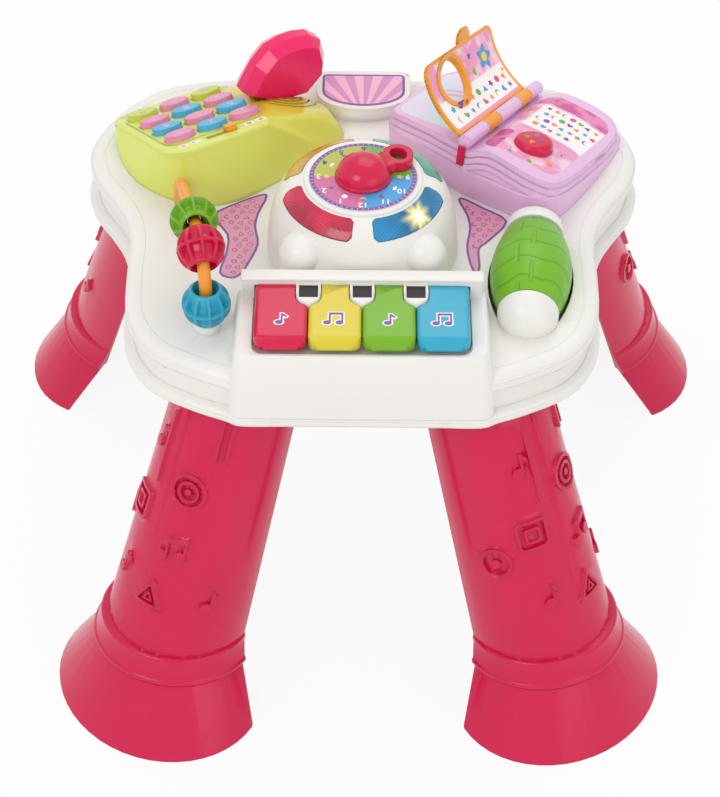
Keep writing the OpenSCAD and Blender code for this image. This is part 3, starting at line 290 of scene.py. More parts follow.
@dataclass(frozen=True)
class Plastic:
    """Moulded plastic with eased edges, a faint orange peel and handling marks."""

    name: str
    code: str
    rough: float = 0.28
    peel: float = 0.05
    edge: float = 1.0 * MM
    coat: float = 0.12

    def make(self) -> bpy.types.Material:
        """Builds the material."""
        made = Shader(self.name)
        self.dress(made, linear(self.code))
        return made.material

    def dress(self, made: Shader, colour: object) -> None:
        """Gives a shader this plastic's surface.

        Args:
            made: The shader.
            colour: A linear colour or a Wire with one.
        """
        cloud = made.noise(7.0, 2.0)
        smear = made.noise(38.0, 4.0, 0.6)
        tone = made.mix(((cloud - 0.35) * 3.0).clamped() * 0.03, colour, DARK)
        rubbed = ((smear - 0.6) * 5.0).clamped() * 0.008
        tone = made.mix(rubbed, tone, (0.72, 0.7, 0.68, 1.0))
        bump = made.relief(made.noise(900.0, 2.0), self.peel, 0.15 * MM, self.edge)
        made.feed(Base_Color=tone, Roughness=self.rough + (smear - 0.5) * 0.12, Normal=bump)
        made.feed(IOR=1.5, Specular_IOR_Level=0.35, Coat_Weight=self.coat * 0.5, Coat_Roughness=0.12)


@dataclass(frozen=True)
class Ink:
    """A printed colour under clear film."""

    name: str
    code: str
    rough: float = 0.32

    def make(self) -> bpy.types.Material:
        """Builds the material."""
        made = Shader(self.name)
        base = linear(self.code)
        dots = made.noise(2600.0, 1.0)
        made.feed(
            Base_Color=made.mix(dots * 0.12, base, shade(base, 0.75)),
            Roughness=self.rough + (made.noise(60.0, 3.0) - 0.5) * 0.15,
        )
        return made.material


@dataclass(frozen=True)
class Metal:
    """Drawn and plated steel."""

    name: str
    code: str
    rough: float = 0.32

    def make(self) -> bpy.types.Material:
        """Builds the material."""
        made = Shader(self.name)
        drawn = made.noise(700.0, 2.0)
        stain = made.noise(60.0, 4.0)
        base = linear(self.code)
        made.feed(
            Base_Color=made.mix(stain, shade(base, 0.75), base),
            Metallic=1.0,
            Roughness=self.rough + (drawn - 0.5) * 0.4,
        )
        return made.material


@dataclass(frozen=True)
class Lens:
    """Coloured clear plastic over a lamp, moulded with rows of small prisms."""

    name: str
    code: str
    glow: Spot | None = None
    rate: float = 2400.0
    reach: float = 15 * MM

    def make(self) -> bpy.types.Material:
        """Builds the material."""
        made = Shader(self.name)
        colour = linear(self.code)
        x, y, _ = made.axes()
        rows = (x * self.rate).sine() * (y * self.rate).sine()
        depth = made.noise(34.0, 2.0)
        deep = made.mix(((depth - 0.4) * 4.0).clamped(), shade(colour, 0.8), shade(colour, 1.5))
        prisms = (rows * 0.5 + 0.5).clamped()
        tone = made.mix(prisms * 0.75, deep, shade(colour, 0.45))
        bump = made.relief(prisms, 0.35, 0.3 * MM, 0.8 * MM)
        made.feed(Roughness=0.14 + prisms * 0.1, Normal=bump, Coat_Weight=0.3)
        if self.glow is None:
            made.feed(Base_Color=tone)
            return made.material
        u, v, w = made.axes(self.glow)
        away = (u * u + v * v + w * w).math("SQRT") * (1 / self.reach)
        turn = v.math("ARCTAN2", u)
        wide = ((turn * 5.0 + 1.0).sine() * 0.5 + 0.5) * 0.3
        rays = ((turn * 9.0).sine() * 0.5 + 0.5) * 0.35 + wide
        lit = (1.15 - away * (1.5 - rays)).clamped().math("POWER", 1.5)
        core = (1.5 - away * 3.4).clamped()
        warm = made.mix(core, linear("ffe45c"), (1.0, 1.0, 0.92, 1.0))
        made.feed(Base_Color=made.mix(lit, tone, warm), Emission_Color=made.mix(lit, DARK, warm))
        made.feed(Emission_Strength=0.8)
        return made.material


@dataclass(frozen=True)
class Barrel:
    """The roller's plastic, cut with fine crossing grooves."""

    name: str
    code: str
    centre: Spot
    turn: float
    pitch: float = 19 * MM

    def make(self) -> bpy.types.Material:
        """Builds the material."""
        made = Shader(self.name)
        Plastic(self.name, self.code, 0.3).dress(made, linear(self.code))
        x, y, z = made.axes(self.centre, (0.0, 0.0, self.turn))
        round_way = z.math("ARCTAN2", x)
        ring = (y * (2 * math.pi / self.pitch) + (round_way * 6.0).sine() * 0.5).sine()
        row = (y * (math.pi / self.pitch)).sine()
        spoke = (round_way * 4.0 + row.above(0.0) * 1.6).sine()
        groove = ((ring.math("MAXIMUM", spoke) - 0.965) * 30.0).clamped()
        made.feed(Normal=made.relief(groove, 1.0, 0.9 * MM, 0.8 * MM, invert=True))
        return made.material


def patch(x: Wire, y: Wire, low: Point, high: Point, radius: float = 0.0) -> Wire:
    """Is 1 inside a rectangle with round corners.

    Args:
        x: The first coordinate.
        y: The second.
        low: The rectangle's lower corner.
        high: Its upper corner.
        radius: The corners' radius.

    Returns:
        The mask.
    """
    past = []
    for value, first, last in ((x, low[0], high[0]), (y, low[1], high[1])):
        half = (last - first) / 2 - radius
        past.append(((value - (first + last) / 2).math("ABSOLUTE") - half).math("MAXIMUM", 0.0))
    return (past[0] * past[0] + past[1] * past[1]).math("SQRT").below(radius + 0.001)


@dataclass(frozen=True)
class Pages:
    """Lilac plastic with printed sheets let into the two leaves."""

    name: str
    code: str
    centre: Spot = (0.1154, 0.0926, 0.38)
    tilt: float = -11.3
    turn: float = -31.0

    def make(self) -> bpy.types.Material:
        """Builds the material."""
        made = Shader(self.name)
        x, y, _ = self.leaf_axes(made)
        magenta = made.mix(made.blots(60.0), linear("cf4f9a"), linear("e68ab6"))
        rose = made.mix(made.blots(75.0), linear("eb9dc2"), linear("f6cfdd"))
        sky = made.mix(made.blots(50.0), linear("e3dcee"), linear("cfe6ea"))
        right = patch(x, y, (9.5, -55.0), (79.0, 64.0), 15.0)
        left = patch(x, y, (-79.0, -42.0), (-9.5, 58.0), 15.0)
        sheet = made.mix(patch(x, y, (0.0, 47.0), (90.0, 80.0)), rose, magenta)
        sheet = made.mix(patch(x, y, (0.0, -60.0), (24.0, -14.0), 8.0), sheet, magenta)
        sheet = made.mix(patch(x, y, (20.0, -2.0), (90.0, 44.0), 5.0), sheet, linear("f7f3f0"))
        tone = made.mix(right, linear(self.code), sheet)
        tone = made.mix(left, tone, sky)
        Plastic(self.name, self.code, 0.24, coat=0.4, edge=3.0 * MM).dress(made, tone)
        return made.material

    def leaf_axes(self, made: Shader) -> list[Wire]:
        """Gives the leaves' own coordinates, in millimetres."""
        turns = (math.radians(self.tilt), 0.0, math.radians(self.turn))
        return [c * 1000.0 for c in made.axes(self.centre, turns)]


@dataclass(frozen=True)
class TurnedPage(Pages):
    """Orange plastic with a pink printed sheet and a white strip beside the hinge."""

    angle: float = 47.0
    hinge: float = 6.3
    hole: Point = (46.0, -27.0)
    ring: float = 23.0

    def make(self) -> bpy.types.Material:
        """Builds the material."""
        made = Shader(self.name)
        x, y, z = self.leaf_axes(made)
        c, s = math.cos(math.radians(self.angle)), math.sin(math.radians(self.angle))
        away = (z - self.hinge) * s - x * c
        sheet = patch(away, y, (8.0, -58.5), (66.6, 49.5), 6.0)
        u, v = away - self.hole[0], y - self.hole[1]
        open_way = (u * u + v * v).math("SQRT").above(self.ring)
        rose = made.mix(made.blots(60.0), linear("ee9cc0"), linear("f8d3e2"))
        tone = made.mix(away.below(36.0), rose, linear("f8f4f1"))
        tone = made.mix(away.below(10.5), tone, linear("ee9cc0"))
        tone = made.mix(sheet * open_way, linear(self.code), tone)
        Plastic(self.name, self.code, 0.24, coat=0.3).dress(made, tone)
        return made.material


@dataclass(frozen=True)
class Tinted:
    """Moulded plastic whose colour deepens towards one spot, as a painted shadow and reflection of the
    handset.
    """

    name: str
    code: str
    deep: str
    centre: Spot
    reach: float

    def make(self) -> bpy.types.Material:
        """Builds the material."""
        made = Shader(self.name)
        x, y, z = made.axes(self.centre)
        # Painted shadow and reflection of the handset: the colour goes from the plain one to the deeper one
        # near the spot.
        near = (1.25 - (x * x + y * y + z * z).math("SQRT") * (1.0 / self.reach)).clamped()
        tone = made.mix(near, linear(self.code), linear(self.deep))
        Plastic(self.name, self.code, 0.17, coat=0.5, edge=5.0 * MM).dress(made, tone)
        return made.material


@dataclass(frozen=True)
class Rays:
    """Printed film with stripes that spread from a point."""

    name: str
    code: str
    stripe: str
    centre: Spot
    count: float = 22.0

    def make(self) -> bpy.types.Material:
        """Builds the material."""
        made = Shader(self.name)
        x, y, _ = made.axes(self.centre)
        fan = (y.math("ARCTAN2", x) * self.count).sine() * 4.0 + 0.5
        made.feed(Base_Color=made.mix(fan.clamped() * 0.55, linear(self.code), linear(self.stripe)))
        made.feed(Roughness=0.3 + (made.noise(60.0, 3.0) - 0.5) * 0.15)
        return made.material


class Paint(Enum):
    """Every finish of the table."""

    WHITE = Plastic("white_shell", "ebe8e3", 0.3)
    WHITE_LOW = Plastic("white_base", "e6e3dd", 0.34)
    LEG = Plastic("leg_plastic", "d0104a", 0.22)
    RED = Plastic("red_plastic", "d20a42", 0.18, coat=0.3, edge=2.0 * MM)
    HANDSET = Plastic("handset_plastic", "ee1664", 0.16, coat=0.4, edge=1.6 * MM)
    YELLOW = Plastic("yellow_plastic", "dac836", 0.2, coat=0.3, edge=2.4 * MM)
    GREEN = Plastic("green_plastic", "76b014", 0.2, coat=0.3, edge=2.4 * MM)
    BLUE = Plastic("blue_plastic", "2ba8c6", 0.2, coat=0.3, edge=2.4 * MM)
    # The telephone's colour deepens near the handset's foot as a painted shadow and reflection of the
    # handset.
    LIME = Tinted("lime_shell", "dbe36c", "dccb14", (-0.086, 0.128, 0.395), 0.075)
    LILAC = Pages("lilac_shell", "e8bde2")
    ORANGE = Plastic("orange_plastic", "f19a2c", 0.24, coat=0.4)
    KEY_PINK = Plastic("pink_keypad", "e690b3", 0.28)
    KEY_BLUE = Plastic("blue_keypad", "4fb0da", 0.28)
    KEY_LIME = Plastic("lime_keypad", "c8d356", 0.28)
    LABEL = Plastic("label_mauve", "dc9ebb", 0.36, coat=0.1, edge=0.2 * MM)
    PLATE = Plastic("plate_pink", "e3a3be", 0.3, coat=0.3, edge=0.4 * MM)
    RAYS = Rays("plate_rays", "f0b3cb", "b05fb4", (0.0, 0.118, 0.3644))
    PAGE = TurnedPage("page_orange", "f2a02e")
    BLACK = Plastic("black_key_plastic", "2b2829", 0.5, 0.15, coat=0.0)
    RUBBER = Plastic("silicone_mat", "b9bbbd", 0.62, 0.15, coat=0.0)
    BOARD = Plastic("solder_mask", "2f6b43", 0.45)
    SLEEVE = Plastic("cell_sleeve", "3d4148", 0.4)
    STEEL = Metal("plated_steel", "b4b7bb")
    ROLLER = Barrel("roller_green", "72b51c", (0.136, -0.078, 0.356), math.radians(-5.5))
    LENS_RED = Lens("red_lens", "cc1844")
    LENS_BLUE = Lens("blue_lens", "0582b8", (0.0435, -0.0745, 0.4125))
    LENS_YELLOW = Lens("yellow_lens", "e0ac2c")
    LENS_GREEN = Lens("green_lens", "3aa88c")
    INK_VIOLET = Ink("ink_violet", "7c4b9e")
    INK_LILAC = Ink("ink_lilac", "cdb7dc")
    INK_WHITE = Ink("ink_white", "f4f2f0")
    INK_CRIMSON = Ink("ink_crimson", "c9285c")
    INK_MAGENTA = Ink("ink_magenta", "cf4f98")
    INK_PINK = Ink("ink_pink", "f0a9c2")
    INK_BLUE = Ink("ink_blue", "3f9bd8")
    INK_NAVY = Ink("ink_navy", "2c3f7c")
    INK_GREEN = Ink("ink_green", "6fb04a")
    INK_LIME = Ink("ink_lime", "b4bf4a")
    INK_YELLOW = Ink("ink_yellow", "f2cf3c")
    INK_ROSE = Ink("ink_rose", "cc6c9c")
    INK_ORANGE = Ink("ink_orange", "ee8f3a")

    def material(self) -> bpy.types.Material:
        """Gives the finish's one material, built on first use."""
        return bpy.data.materials.get(self.value.name) or self.value.make()


# ---- the camera, lamps and floor --------------------------------------------------------------


def spin(degrees: float, axis: str) -> Matrix:
    """Gives a turn about an axis."""
    return Matrix.Rotation(math.radians(degrees), 4, axis)


def linked(name: str, data: bpy.types.ID) -> bpy.types.Object:
    """Makes an object of some data and puts it in the scene."""
    made = bpy.data.objects.new(name, data)
    bpy.context.scene.collection.objects.link(made)
    return made


@dataclass
class Studio:
    """A pale floor, soft lamps and the camera."""

    focal: float = 110.76
    stand: Spot = (-0.003, -1.5743, 1.651)
    look: Spot = (46.2, 0.5, 0.0)
    shift: tuple[float, float] = (0.0031, 0.0)
    ambient: float = 0.8
    whiteness: float = 0.9
    target: Spot = (0.0, 0.0, 0.3)

    def build(self) -> None:
        """Builds all of it."""
        self._camera()
        self._lamps()
        self._floor()

    def _camera(self) -> None:
        """Places the camera."""
        data = bpy.data.cameras.new("camera")
        data.lens, data.sensor_width = self.focal, 36.0
        data.shift_x, data.shift_y = self.shift
        seen = linked("camera", data)
        seen.location = self.stand
        tilt, roll, turn = self.look
        seen.rotation_euler = (spin(turn, "Z") @ spin(tilt, "X") @ spin(roll, "Z")).to_euler()
        bpy.context.scene.camera = seen

    def _lamps(self) -> None:
        """Adds the soft lamps and the world's light."""
        for name, place, power, size in (
            ("key_lamp", (-0.9, -1.3, 1.7), 9.0, 0.9),
            ("fill_lamp", (1.2, -1.5, 0.9), 4.0, 1.2),
            ("back_lamp", (0.2, 0.9, 1.9), 6.0, 1.2),
        ):
            data = bpy.data.lights.new(name, "AREA")
            data.energy, data.size = power, size
            lamp = linked(name, data)
            lamp.location = place
            lamp.rotation_euler = (Vector(self.target) - Vector(place)).to_track_quat("-Z", "Y").to_euler()
        air = Shader("studio_air", "worlds")
        air.feed(Color=LIGHT, Strength=air.seen() * (1.0 - self.ambient) + self.ambient)
        bpy.context.scene.world = air.material

    def _floor(self) -> None:
        """Lays the floor, which looks white to the camera and keeps the shadow."""
        bpy.ops.mesh.primitive_circle_add(vertices=96, radius=6.0, fill_type="NGON")
        floor = bpy.context.object
        floor.name = "floor"
        made = Shader("pale_floor")
        made.feed(Base_Color=(0.9, 0.9, 0.9, 1.0), Roughness=0.6)
        white = made.node("ShaderNodeEmission", values={"Color": LIGHT, "Strength": 1.0})
        lit = Wire(made, made.surface.outputs[0])
        shown = made.node("ShaderNodeMixShader", values={0: made.seen() * self.whiteness, 1: lit, 2: white})
        end = next(n for n in made.tree.nodes if n.type == "OUTPUT_MATERIAL")
        made.tree.links.new(shown.socket, end.inputs[0])
        floor.data.materials.append(made.material)


# ---- drawing and modelling --------------------------------------------------------------------


@dataclass(frozen=True)
class Place:
    """Where a form drawn in millimetres stands: an origin and turns about Z, X and Y in degrees."""

    origin: Spot = (0.0, 0.0, 0.0)
    turn: float = 0.0
    tilt: float = 0.0
    lean: float = 0.0

    def matrix(self) -> Matrix:
        """Gives the matrix from the drawing's millimetres to metres."""
        moved = Matrix.Translation(Vector(self.origin) * MM)
        turned = spin(self.turn, "Z") @ spin(self.tilt, "X") @ spin(self.lean, "Y")
        return moved @ turned @ Matrix.Scale(MM, 4)


def polar(radius: float, degrees: float) -> Point:
    """Gives the point at a radius and an angle."""
    return radius * math.cos(math.radians(degrees)), radius * math.sin(math.radians(degrees))


def around(count: int) -> list[float]:
    """Gives evenly spaced angles of one turn, in degrees."""
    return [360.0 * i / count for i in range(count)]


class Motif(Enum):
    """A small printed shape."""

    STAR = "star"
    FLOWER = "flower"
    HEART = "heart"
    MOON = "moon"
    DISC = "disc"
    CLOUD = "cloud"
    BAR = "bar"
    LEAF = "leaf"
    CORNER = "corner"

    def outline(self, size: float) -> list[Point]:
        """Draws the shape.

        Args:
            size: Its half height.

        Returns:
            The points of its closed outline, anticlockwise.
        """
        if self is Motif.STAR:
            return [polar(size * (1.0 if i % 2 == 0 else 0.45), 90 + a) for i, a in enumerate(around(10))]
        if self is Motif.FLOWER:
            return [polar(size * (0.78 + 0.22 * math.cos(math.radians(5 * a))), a) for a in around(40)]
        if self is Motif.HEART:
            lobes = [
                (16 * math.sin(t) ** 3, 13 * math.cos(t) - 5 * math.cos(2 * t) - 2 * math.cos(3 * t))
                for t in (-math.radians(a) for a in around(28))
            ]
            return [(x * size / 16, y * size / 16) for x, y in lobes]
        if self is Motif.MOON:
            outer = [polar(size, a) for a in range(60, 301, 20)]
            inner = [(x * 0.45, y * 0.9) for x, y in (polar(size, a) for a in range(290, 60, -20))]
            return outer + inner
        if self is Motif.CLOUD:
            return [polar(size * (0.75 + 0.2 * abs(math.cos(math.radians(2.5 * a)))), a) for a in around(40)]
        if self is Motif.BAR:
            return [(-size, -size * 0.3), (size, -size * 0.3), (size, size * 0.3), (-size, size * 0.3)]
        if self is Motif.LEAF:
            side = [
                (size * 0.5 * math.sin(math.radians(a)), size * math.cos(math.radians(a)))
                for a in range(180, 359, 20)
            ]
            return side[::-1] + [(-x, y) for x, y in side]
        if self is Motif.CORNER:
            return [(-size, -size), (size, -size), (0.0, size * 0.7)]
        return [polar(size, a) for a in around(24)]


def placed(points: Iterable[Point], centre: Point, turn: float = 0.0, stretch: float = 1.0) -> list[Point]:
    """Stretches an outline along x, turns it and moves it.

    Args:
        points: The outline.
        centre: Where its middle goes.
        turn: Degrees anticlockwise.
        stretch: The factor along x.

    Returns:
        The moved outline.
    """
    c, s = polar(1.0, turn)
    return [(centre[0] + c * x * stretch - s * y, centre[1] + s * x * stretch + c * y) for x, y in points]


def band(path: Sequence[Point], width: float) -> list[Point]:
    """Draws a strip of even width along an open path.

    Args:
        path: The middle line.
        width: The strip's width.

    Returns:
        Its closed outline.
    """
    sides: tuple[list[Point], list[Point]] = ([], [])
    for i, (x, y) in enumerate(path):
        before = Vector(path[max(i - 1, 0)])
        after = Vector(path[min(i + 1, len(path) - 1)])
        along = (after - before).normalized() * (width / 2)
        sides[0].append((x + along.y, y - along.x))
        sides[1].append((x - along.y, y + along.x))
    return sides[0] + sides[1][::-1]


def arc(radius: float, start: float, end: float, steps: int = 24) -> list[Point]:
    """Gives the points of an arc about the origin, with its angles in degrees."""
    return [polar(radius, start + (end - start) * i / steps) for i in range(steps + 1)]


def inside(point: Point, outline: Sequence[Point]) -> bool:
    """Tells whether a point lies in an outline."""
    x, y = point
    hits = 0
    for (x0, y0), (x1, y1) in zip(outline, [*outline[1:], outline[0]]):
        if (y0 > y) != (y1 > y) and x < x0 + (y - y0) * (x1 - x0) / (y1 - y0):
            hits += 1
    return hits % 2 == 1


def alone(piece: bpy.types.Object) -> None:
    """Makes a piece the only selected and the active one."""
    if bpy.context.object and bpy.context.object.mode != "OBJECT":
        bpy.ops.object.mode_set(mode="OBJECT")
    bpy.ops.object.select_all(action="DESELECT")
    piece.select_set(True)
    bpy.context.view_layer.objects.active = piece


def opened(piece: bpy.types.Object) -> None:
    """Opens a piece in edit mode, with all of it selected."""
    alone(piece)
    bpy.ops.object.mode_set(mode="EDIT")
    bpy.ops.mesh.select_all(action="SELECT")


def settle(
    piece: bpy.types.Object,
    body: str,
    paint: Paint,
    angle: float = 35.0,
    replaced: Sequence[str] = (),
) -> bpy.types.Object:
    """Smooths and paints a piece, and lets it ride on its body.

    Args:
        piece: The piece, with its place in its mesh.
        body: The body that carries it.
        paint: Its finish.
        angle: Faces that meet at less than this many degrees are shaded as one.
        replaced: The solids that it stands for.

    Returns:
        The piece.
    """
    alone(piece)
    bpy.ops.object.shade_smooth_by_angle(angle=math.radians(angle))
    if replaced:
        level = piece.modifiers.new("level", "WEIGHTED_NORMAL")
        level.mode, level.weight, level.keep_sharp = "FACE_AREA_WITH_ANGLE", 100, True
        bpy.ops.object.modifier_apply(modifier=level.name)
    if not piece.data.materials:
        piece.data.materials.append(paint.material())
    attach(piece, body)
    if replaced:
        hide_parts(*replaced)
    LOG.info("piece %s: %s, rides on %s", piece.name, paint.value.name, body)
    return piece


class Cut:
    """Flat shapes of one colour, drawn in millimetres and laid on a face."""

    def __init__(self, name: str, paint: Paint, thick: float = 0.12) -> None:
        """Starts with no shape.

        Args:
            name: The piece's name.
            paint: Its finish.
            thick: How far it stands proud.
        """
        self.name = name
        self.paint = paint
        self.thick = thick
        self.outlines: list[list[Point]] = []
        self.strips: list[list[Point]] = []
        self.figures: list[tuple[str, Point, float, float]] = []

    def motif(
        self, motif: Motif, centre: Point, size: float, turn: float = 0.0, stretch: float = 1.0
    ) -> None:
        """Adds a motif at a centre."""
        self.outlines.append(placed(motif.outline(size), centre, turn, stretch))

    def path(self, points: Sequence[Point], width: float) -> None:
        """Adds a strip along a path."""
        self.outlines.append(band(points, width))

    def ribbon(self, outline: Sequence[Point], width: float) -> None:
        """Adds a strip of even width round a closed outline."""
        sides = []
        for i, (x, y) in enumerate(outline):
            along = Vector(outline[(i + 1) % len(outline)]) - Vector(outline[i - 1])
            along = along.normalized() * (width / 2)
            sides.append(((x + along.y, y - along.x), (x - along.y, y + along.x)))
        for here, there in zip(sides, [*sides[1:], sides[0]]):
            self.strips.append([here[0], there[0], there[1], here[1]])

    def figure(self, text: str, centre: Point, size: float, turn: float = 0.0) -> None:
        """Adds a figure, such as a number."""
        self.figures.append((text, centre, size, turn))

    def done(self, body: str, place: Place = Place(), shape: Warp | None = None) -> bpy.types.Object:
        """Makes the mesh and sets it down.

        Args:
            body: The body that carries it.
            place: Where it goes.
            shape: Moves each point of the flat drawing onto a curved face.

        Returns:
            The piece.
        """
        piece = linked(self.name, bpy.data.meshes.new(self.name))
        letters = [self._letter(*figure) for figure in self.figures]
        alone(piece)
        bpy.ops.object.mode_set(mode="EDIT")
        for number, outline in enumerate(self.strips + self.outlines):
            level = 0.0 if number < len(self.strips) else number % 4 * 0.006
            bpy.ops.mesh.select_all(action="DESELECT")
            bpy.ops.mesh.primitive_circle_add(vertices=len(outline), radius=1.0, fill_type="NGON")
            mesh = bmesh.from_edit_mesh(piece.data)
            for corner, (x, y) in zip([v for v in mesh.verts if v.select], outline):
                corner.co = (x, y, level)
            bmesh.update_edit_mesh(piece.data)
        bpy.ops.mesh.select_all(action="SELECT")
        bpy.ops.mesh.remove_doubles(threshold=0.001)
        alone(piece)
        for letter in letters:
            letter.select_set(True)
        if letters:
            bpy.ops.object.join()
        opened(piece)
        if shape:
            bpy.ops.mesh.quads_convert_to_tris()
        bpy.ops.mesh.extrude_region_move(TRANSFORM_OT_translate={"value": (0.0, 0.0, self.thick)})
        bpy.ops.mesh.select_all(action="SELECT")
        bpy.ops.mesh.normals_make_consistent(inside=False)
        bpy.ops.object.mode_set(mode="OBJECT")
        if shape:
            for corner in piece.data.vertices:
                corner.co = shape(corner.co)
        else:
            piece.data.transform(place.matrix())
        piece.data.materials.clear()
        return settle(piece, body, self.paint, 20.0)

    @staticmethod
    def _letter(text: str, centre: Point, size: float, turn: float) -> bpy.types.Object:
        """Makes one figure as a flat mesh."""
        bpy.ops.object.select_all(action="DESELECT")
        bpy.ops.object.text_add()
        letter = bpy.context.object
        letter.data.body = text
        letter.data.size = size
        letter.data.resolution_u = 3
        letter.data.offset = size * 0.02
        letter.data.align_x, letter.data.align_y = "CENTER", "CENTER"
        bpy.ops.object.convert(target="MESH")
        spot = Matrix.Translation((*centre, 0.0)) @ spin(turn, "Z")
        letter.data.transform(spot)
        return letter


def copied(node: str, name: str) -> bpy.types.Object:
    """Copies a solid's mesh, with its loose triangles merged.

    Args:
        node: The solid.
        name: The new piece's name.

    Returns:
        The copy, still without a finish.
    """
    piece = linked(name, frame["nodes"][node].data.copy())
    opened(piece)
    bpy.ops.mesh.remove_doubles(threshold=0.004 * MM)
    bpy.ops.object.mode_set(mode="OBJECT")
    piece.data.materials.clear()
    return piece


@lru_cache
def surface(node: str) -> BVHTree:
    """Gives a solid's surface, for finding where a line meets it."""
    mesh = frame["nodes"][node].data
    return BVHTree.FromPolygons([v.co for v in mesh.vertices], [tuple(p.vertices) for p in mesh.polygons])


@dataclass(frozen=True)
class Drape:
    """Lays a flat drawing on a solid, seen square to the drawing."""

    node: str
    place: Place

    def __call__(self, flat: Vector) -> Vector:
        """Moves a point of the drawing onto the solid.

        Args:
            flat: The point, in millimetres; z is its height off the surface.

        Returns:
            Its place, in metres.
        """
        matrix = self.place.matrix()
        off = (matrix.to_3x3() @ Vector((0.0, 0.0, 1.0))).normalized()
        start = matrix @ Vector((flat.x, flat.y, 60.0))
        spot = surface(self.node).ray_cast(start, -off)[0]
        base = spot if spot else matrix @ Vector((flat.x, flat.y, 0.0))
        return base + off * (flat.z + 0.02) * MM


def carrier(node: str) -> str:
    """Names the body that carries a solid."""
    return frame["nodes"][node]["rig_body"]


def skin(node: str, paint: Paint, angle: float = 24.0) -> bpy.types.Object:
    """Makes the smooth moulded surface that stands for a solid.

    Args:
        node: The solid.
        paint: Its finish.
        angle: Faces that meet at less than this many degrees are shaded as one.

    Returns:
        The piece.
    """
    return settle(copied(node, node + "_skin"), carrier(node), paint, angle, (node,))


def overlay(node: str, name: str, paint: Paint, lift: float) -> bpy.types.Object:
    """Lays printed film on the faces of a solid that look up.

    Args:
        node: The solid.
        name: The film's name.
        paint: Its finish.
        lift: The film's thickness.

    Returns:
        The film.
    """
    piece = copied(node, name)
    bpy.ops.object.mode_set(mode="EDIT")
    mesh = bmesh.from_edit_mesh(piece.data)
    for face in mesh.faces:
        face.select = face.normal.z <= UPWARD
    bmesh.update_edit_mesh(piece.data)
    bpy.ops.mesh.delete(type="FACE")
    bpy.ops.mesh.select_all(action="SELECT")
    bpy.ops.mesh.dissolve_limited(angle_limit=math.radians(0.5))
    bpy.ops.mesh.select_all(action="SELECT")
    bpy.ops.mesh.extrude_region_shrink_fatten(TRANSFORM_OT_shrink_fatten={"value": lift})
    bpy.ops.mesh.select_all(action="SELECT")
    bpy.ops.mesh.normals_make_consistent(inside=False)
    bpy.ops.object.mode_set(mode="OBJECT")
    return settle(piece, carrier(node), paint, 25.0)


def lofted(name: str, rings: Sequence[Sequence[Spot]]) -> bpy.types.Object:
    """Joins closed rings of equal count into one closed tube, the last to the first.

    Args:
        name: The piece's name.
        rings: The rings' points, in millimetres.

    Returns:
        The piece, still without a finish.
    """
    mesh = bmesh.new()
    loops = [[mesh.verts.new(Vector(point) * MM) for point in ring] for ring in rings]
    for low, high in zip(loops, [*loops[1:], loops[0]]):
        for i in range(len(low)):
            j = (i + 1) % len(low)
            mesh.faces.new((low[i], low[j], high[j], high[i]))
    bmesh.ops.recalc_face_normals(mesh, faces=mesh.faces)
    piece = linked(name, bpy.data.meshes.new(name))
    mesh.to_mesh(piece.data)
    mesh.free()
    return piece


# ---- the sub-assemblies -----------------------------------------------------------------------


@dataclass
class Mouldings:
    """The moulded pieces whose surfaces are smooth, and the plain ones inside."""

    smooth: dict[str, tuple[Paint, tuple[str, ...]]] = field(
        default_factory=lambda: {
            "shell_white": (
                Paint.WHITE,
                ("top_casing", "dome_cover", "dial_ring", "roller_bearing_front", "roller_bearing_back"),
            ),
            "leg_crimson": (
                Paint.LEG,
                ("leg_front_left", "leg_front_right", "leg_back_left", "leg_back_right"),
            ),
            "crimson": (Paint.RED, ("piano_key_red", "bead_red", "dial_pointer", "book_button", "bookmark")),
            "yellow": (Paint.YELLOW, ("piano_key_yellow",)),
            "green": (Paint.GREEN, ("piano_key_green", "bead_green")),
            "blue": (Paint.BLUE, ("piano_key_blue", "bead_blue")),
            "phone_lime": (Paint.LIME, ("phone_base",)),
            "book_lilac": (Paint.LILAC, ("book_base",)),
            "orange": (Paint.ORANGE, ("mode_slider", "bead_rail")),
            "button_pink": (Paint.KEY_PINK, tuple(f"phone_button_{i}" for i in (1, 3, 5, 7, 9, 11))),
            "button_blue": (Paint.KEY_BLUE, tuple(f"phone_button_{i}" for i in (2, 4, 6, 8))),
            "button_lime": (Paint.KEY_LIME, tuple(f"phone_button_{i}" for i in (10, 12))),
            "lens_red": (Paint.LENS_RED, ("lens_red",)),
            "lens_blue": (Paint.LENS_BLUE, ("lens_blue",)),
            "lens_yellow": (Paint.LENS_YELLOW, ("lens_yellow",)),
            "lens_green": (Paint.LENS_GREEN, ("lens_green",)),
            "black_pad": (Paint.BLACK, ("black_keys",)),
        }
    )
    plain: dict[Paint, tuple[str, ...]] = field(
        default_factory=lambda: {
            Paint.WHITE_LOW: ("bottom_casing", "battery_door"),
            Paint.INK_WHITE: ("dial_face",),
            Paint.LABEL: ("label_left", "label_right"),
            Paint.PLATE: ("nameplate",),
            Paint.BLACK: ("speaker",),
            Paint.RUBBER: ("keypad_mat", "key_contact_mat"),
            Paint.BOARD: ("light_board", "circuit_board"),
            Paint.SLEEVE: ("batteries",),
            Paint.STEEL: ("key_pin", "hinge_pin", "roller_axle", "casing_screws", "battery_contacts"),
        }
    )

    def build(self) -> None:
        """Makes the smooth skins and paints the plain solids."""
        for slot, (paint, nodes) in self.smooth.items():
            for node in nodes:
                skin(node, paint)
        skin("book_page", Paint.PAGE)
        skin("handset", Paint.HANDSET, 12.0)
        skin("roller_barrel", Paint.ROLLER)
        for paint, nodes in self.plain.items():
            for node in nodes:
                for holder in frame["nodes"][node].material_slots:
                    holder.material = paint.material()
                LOG.info("solid %s: %s", node, paint.value.name)


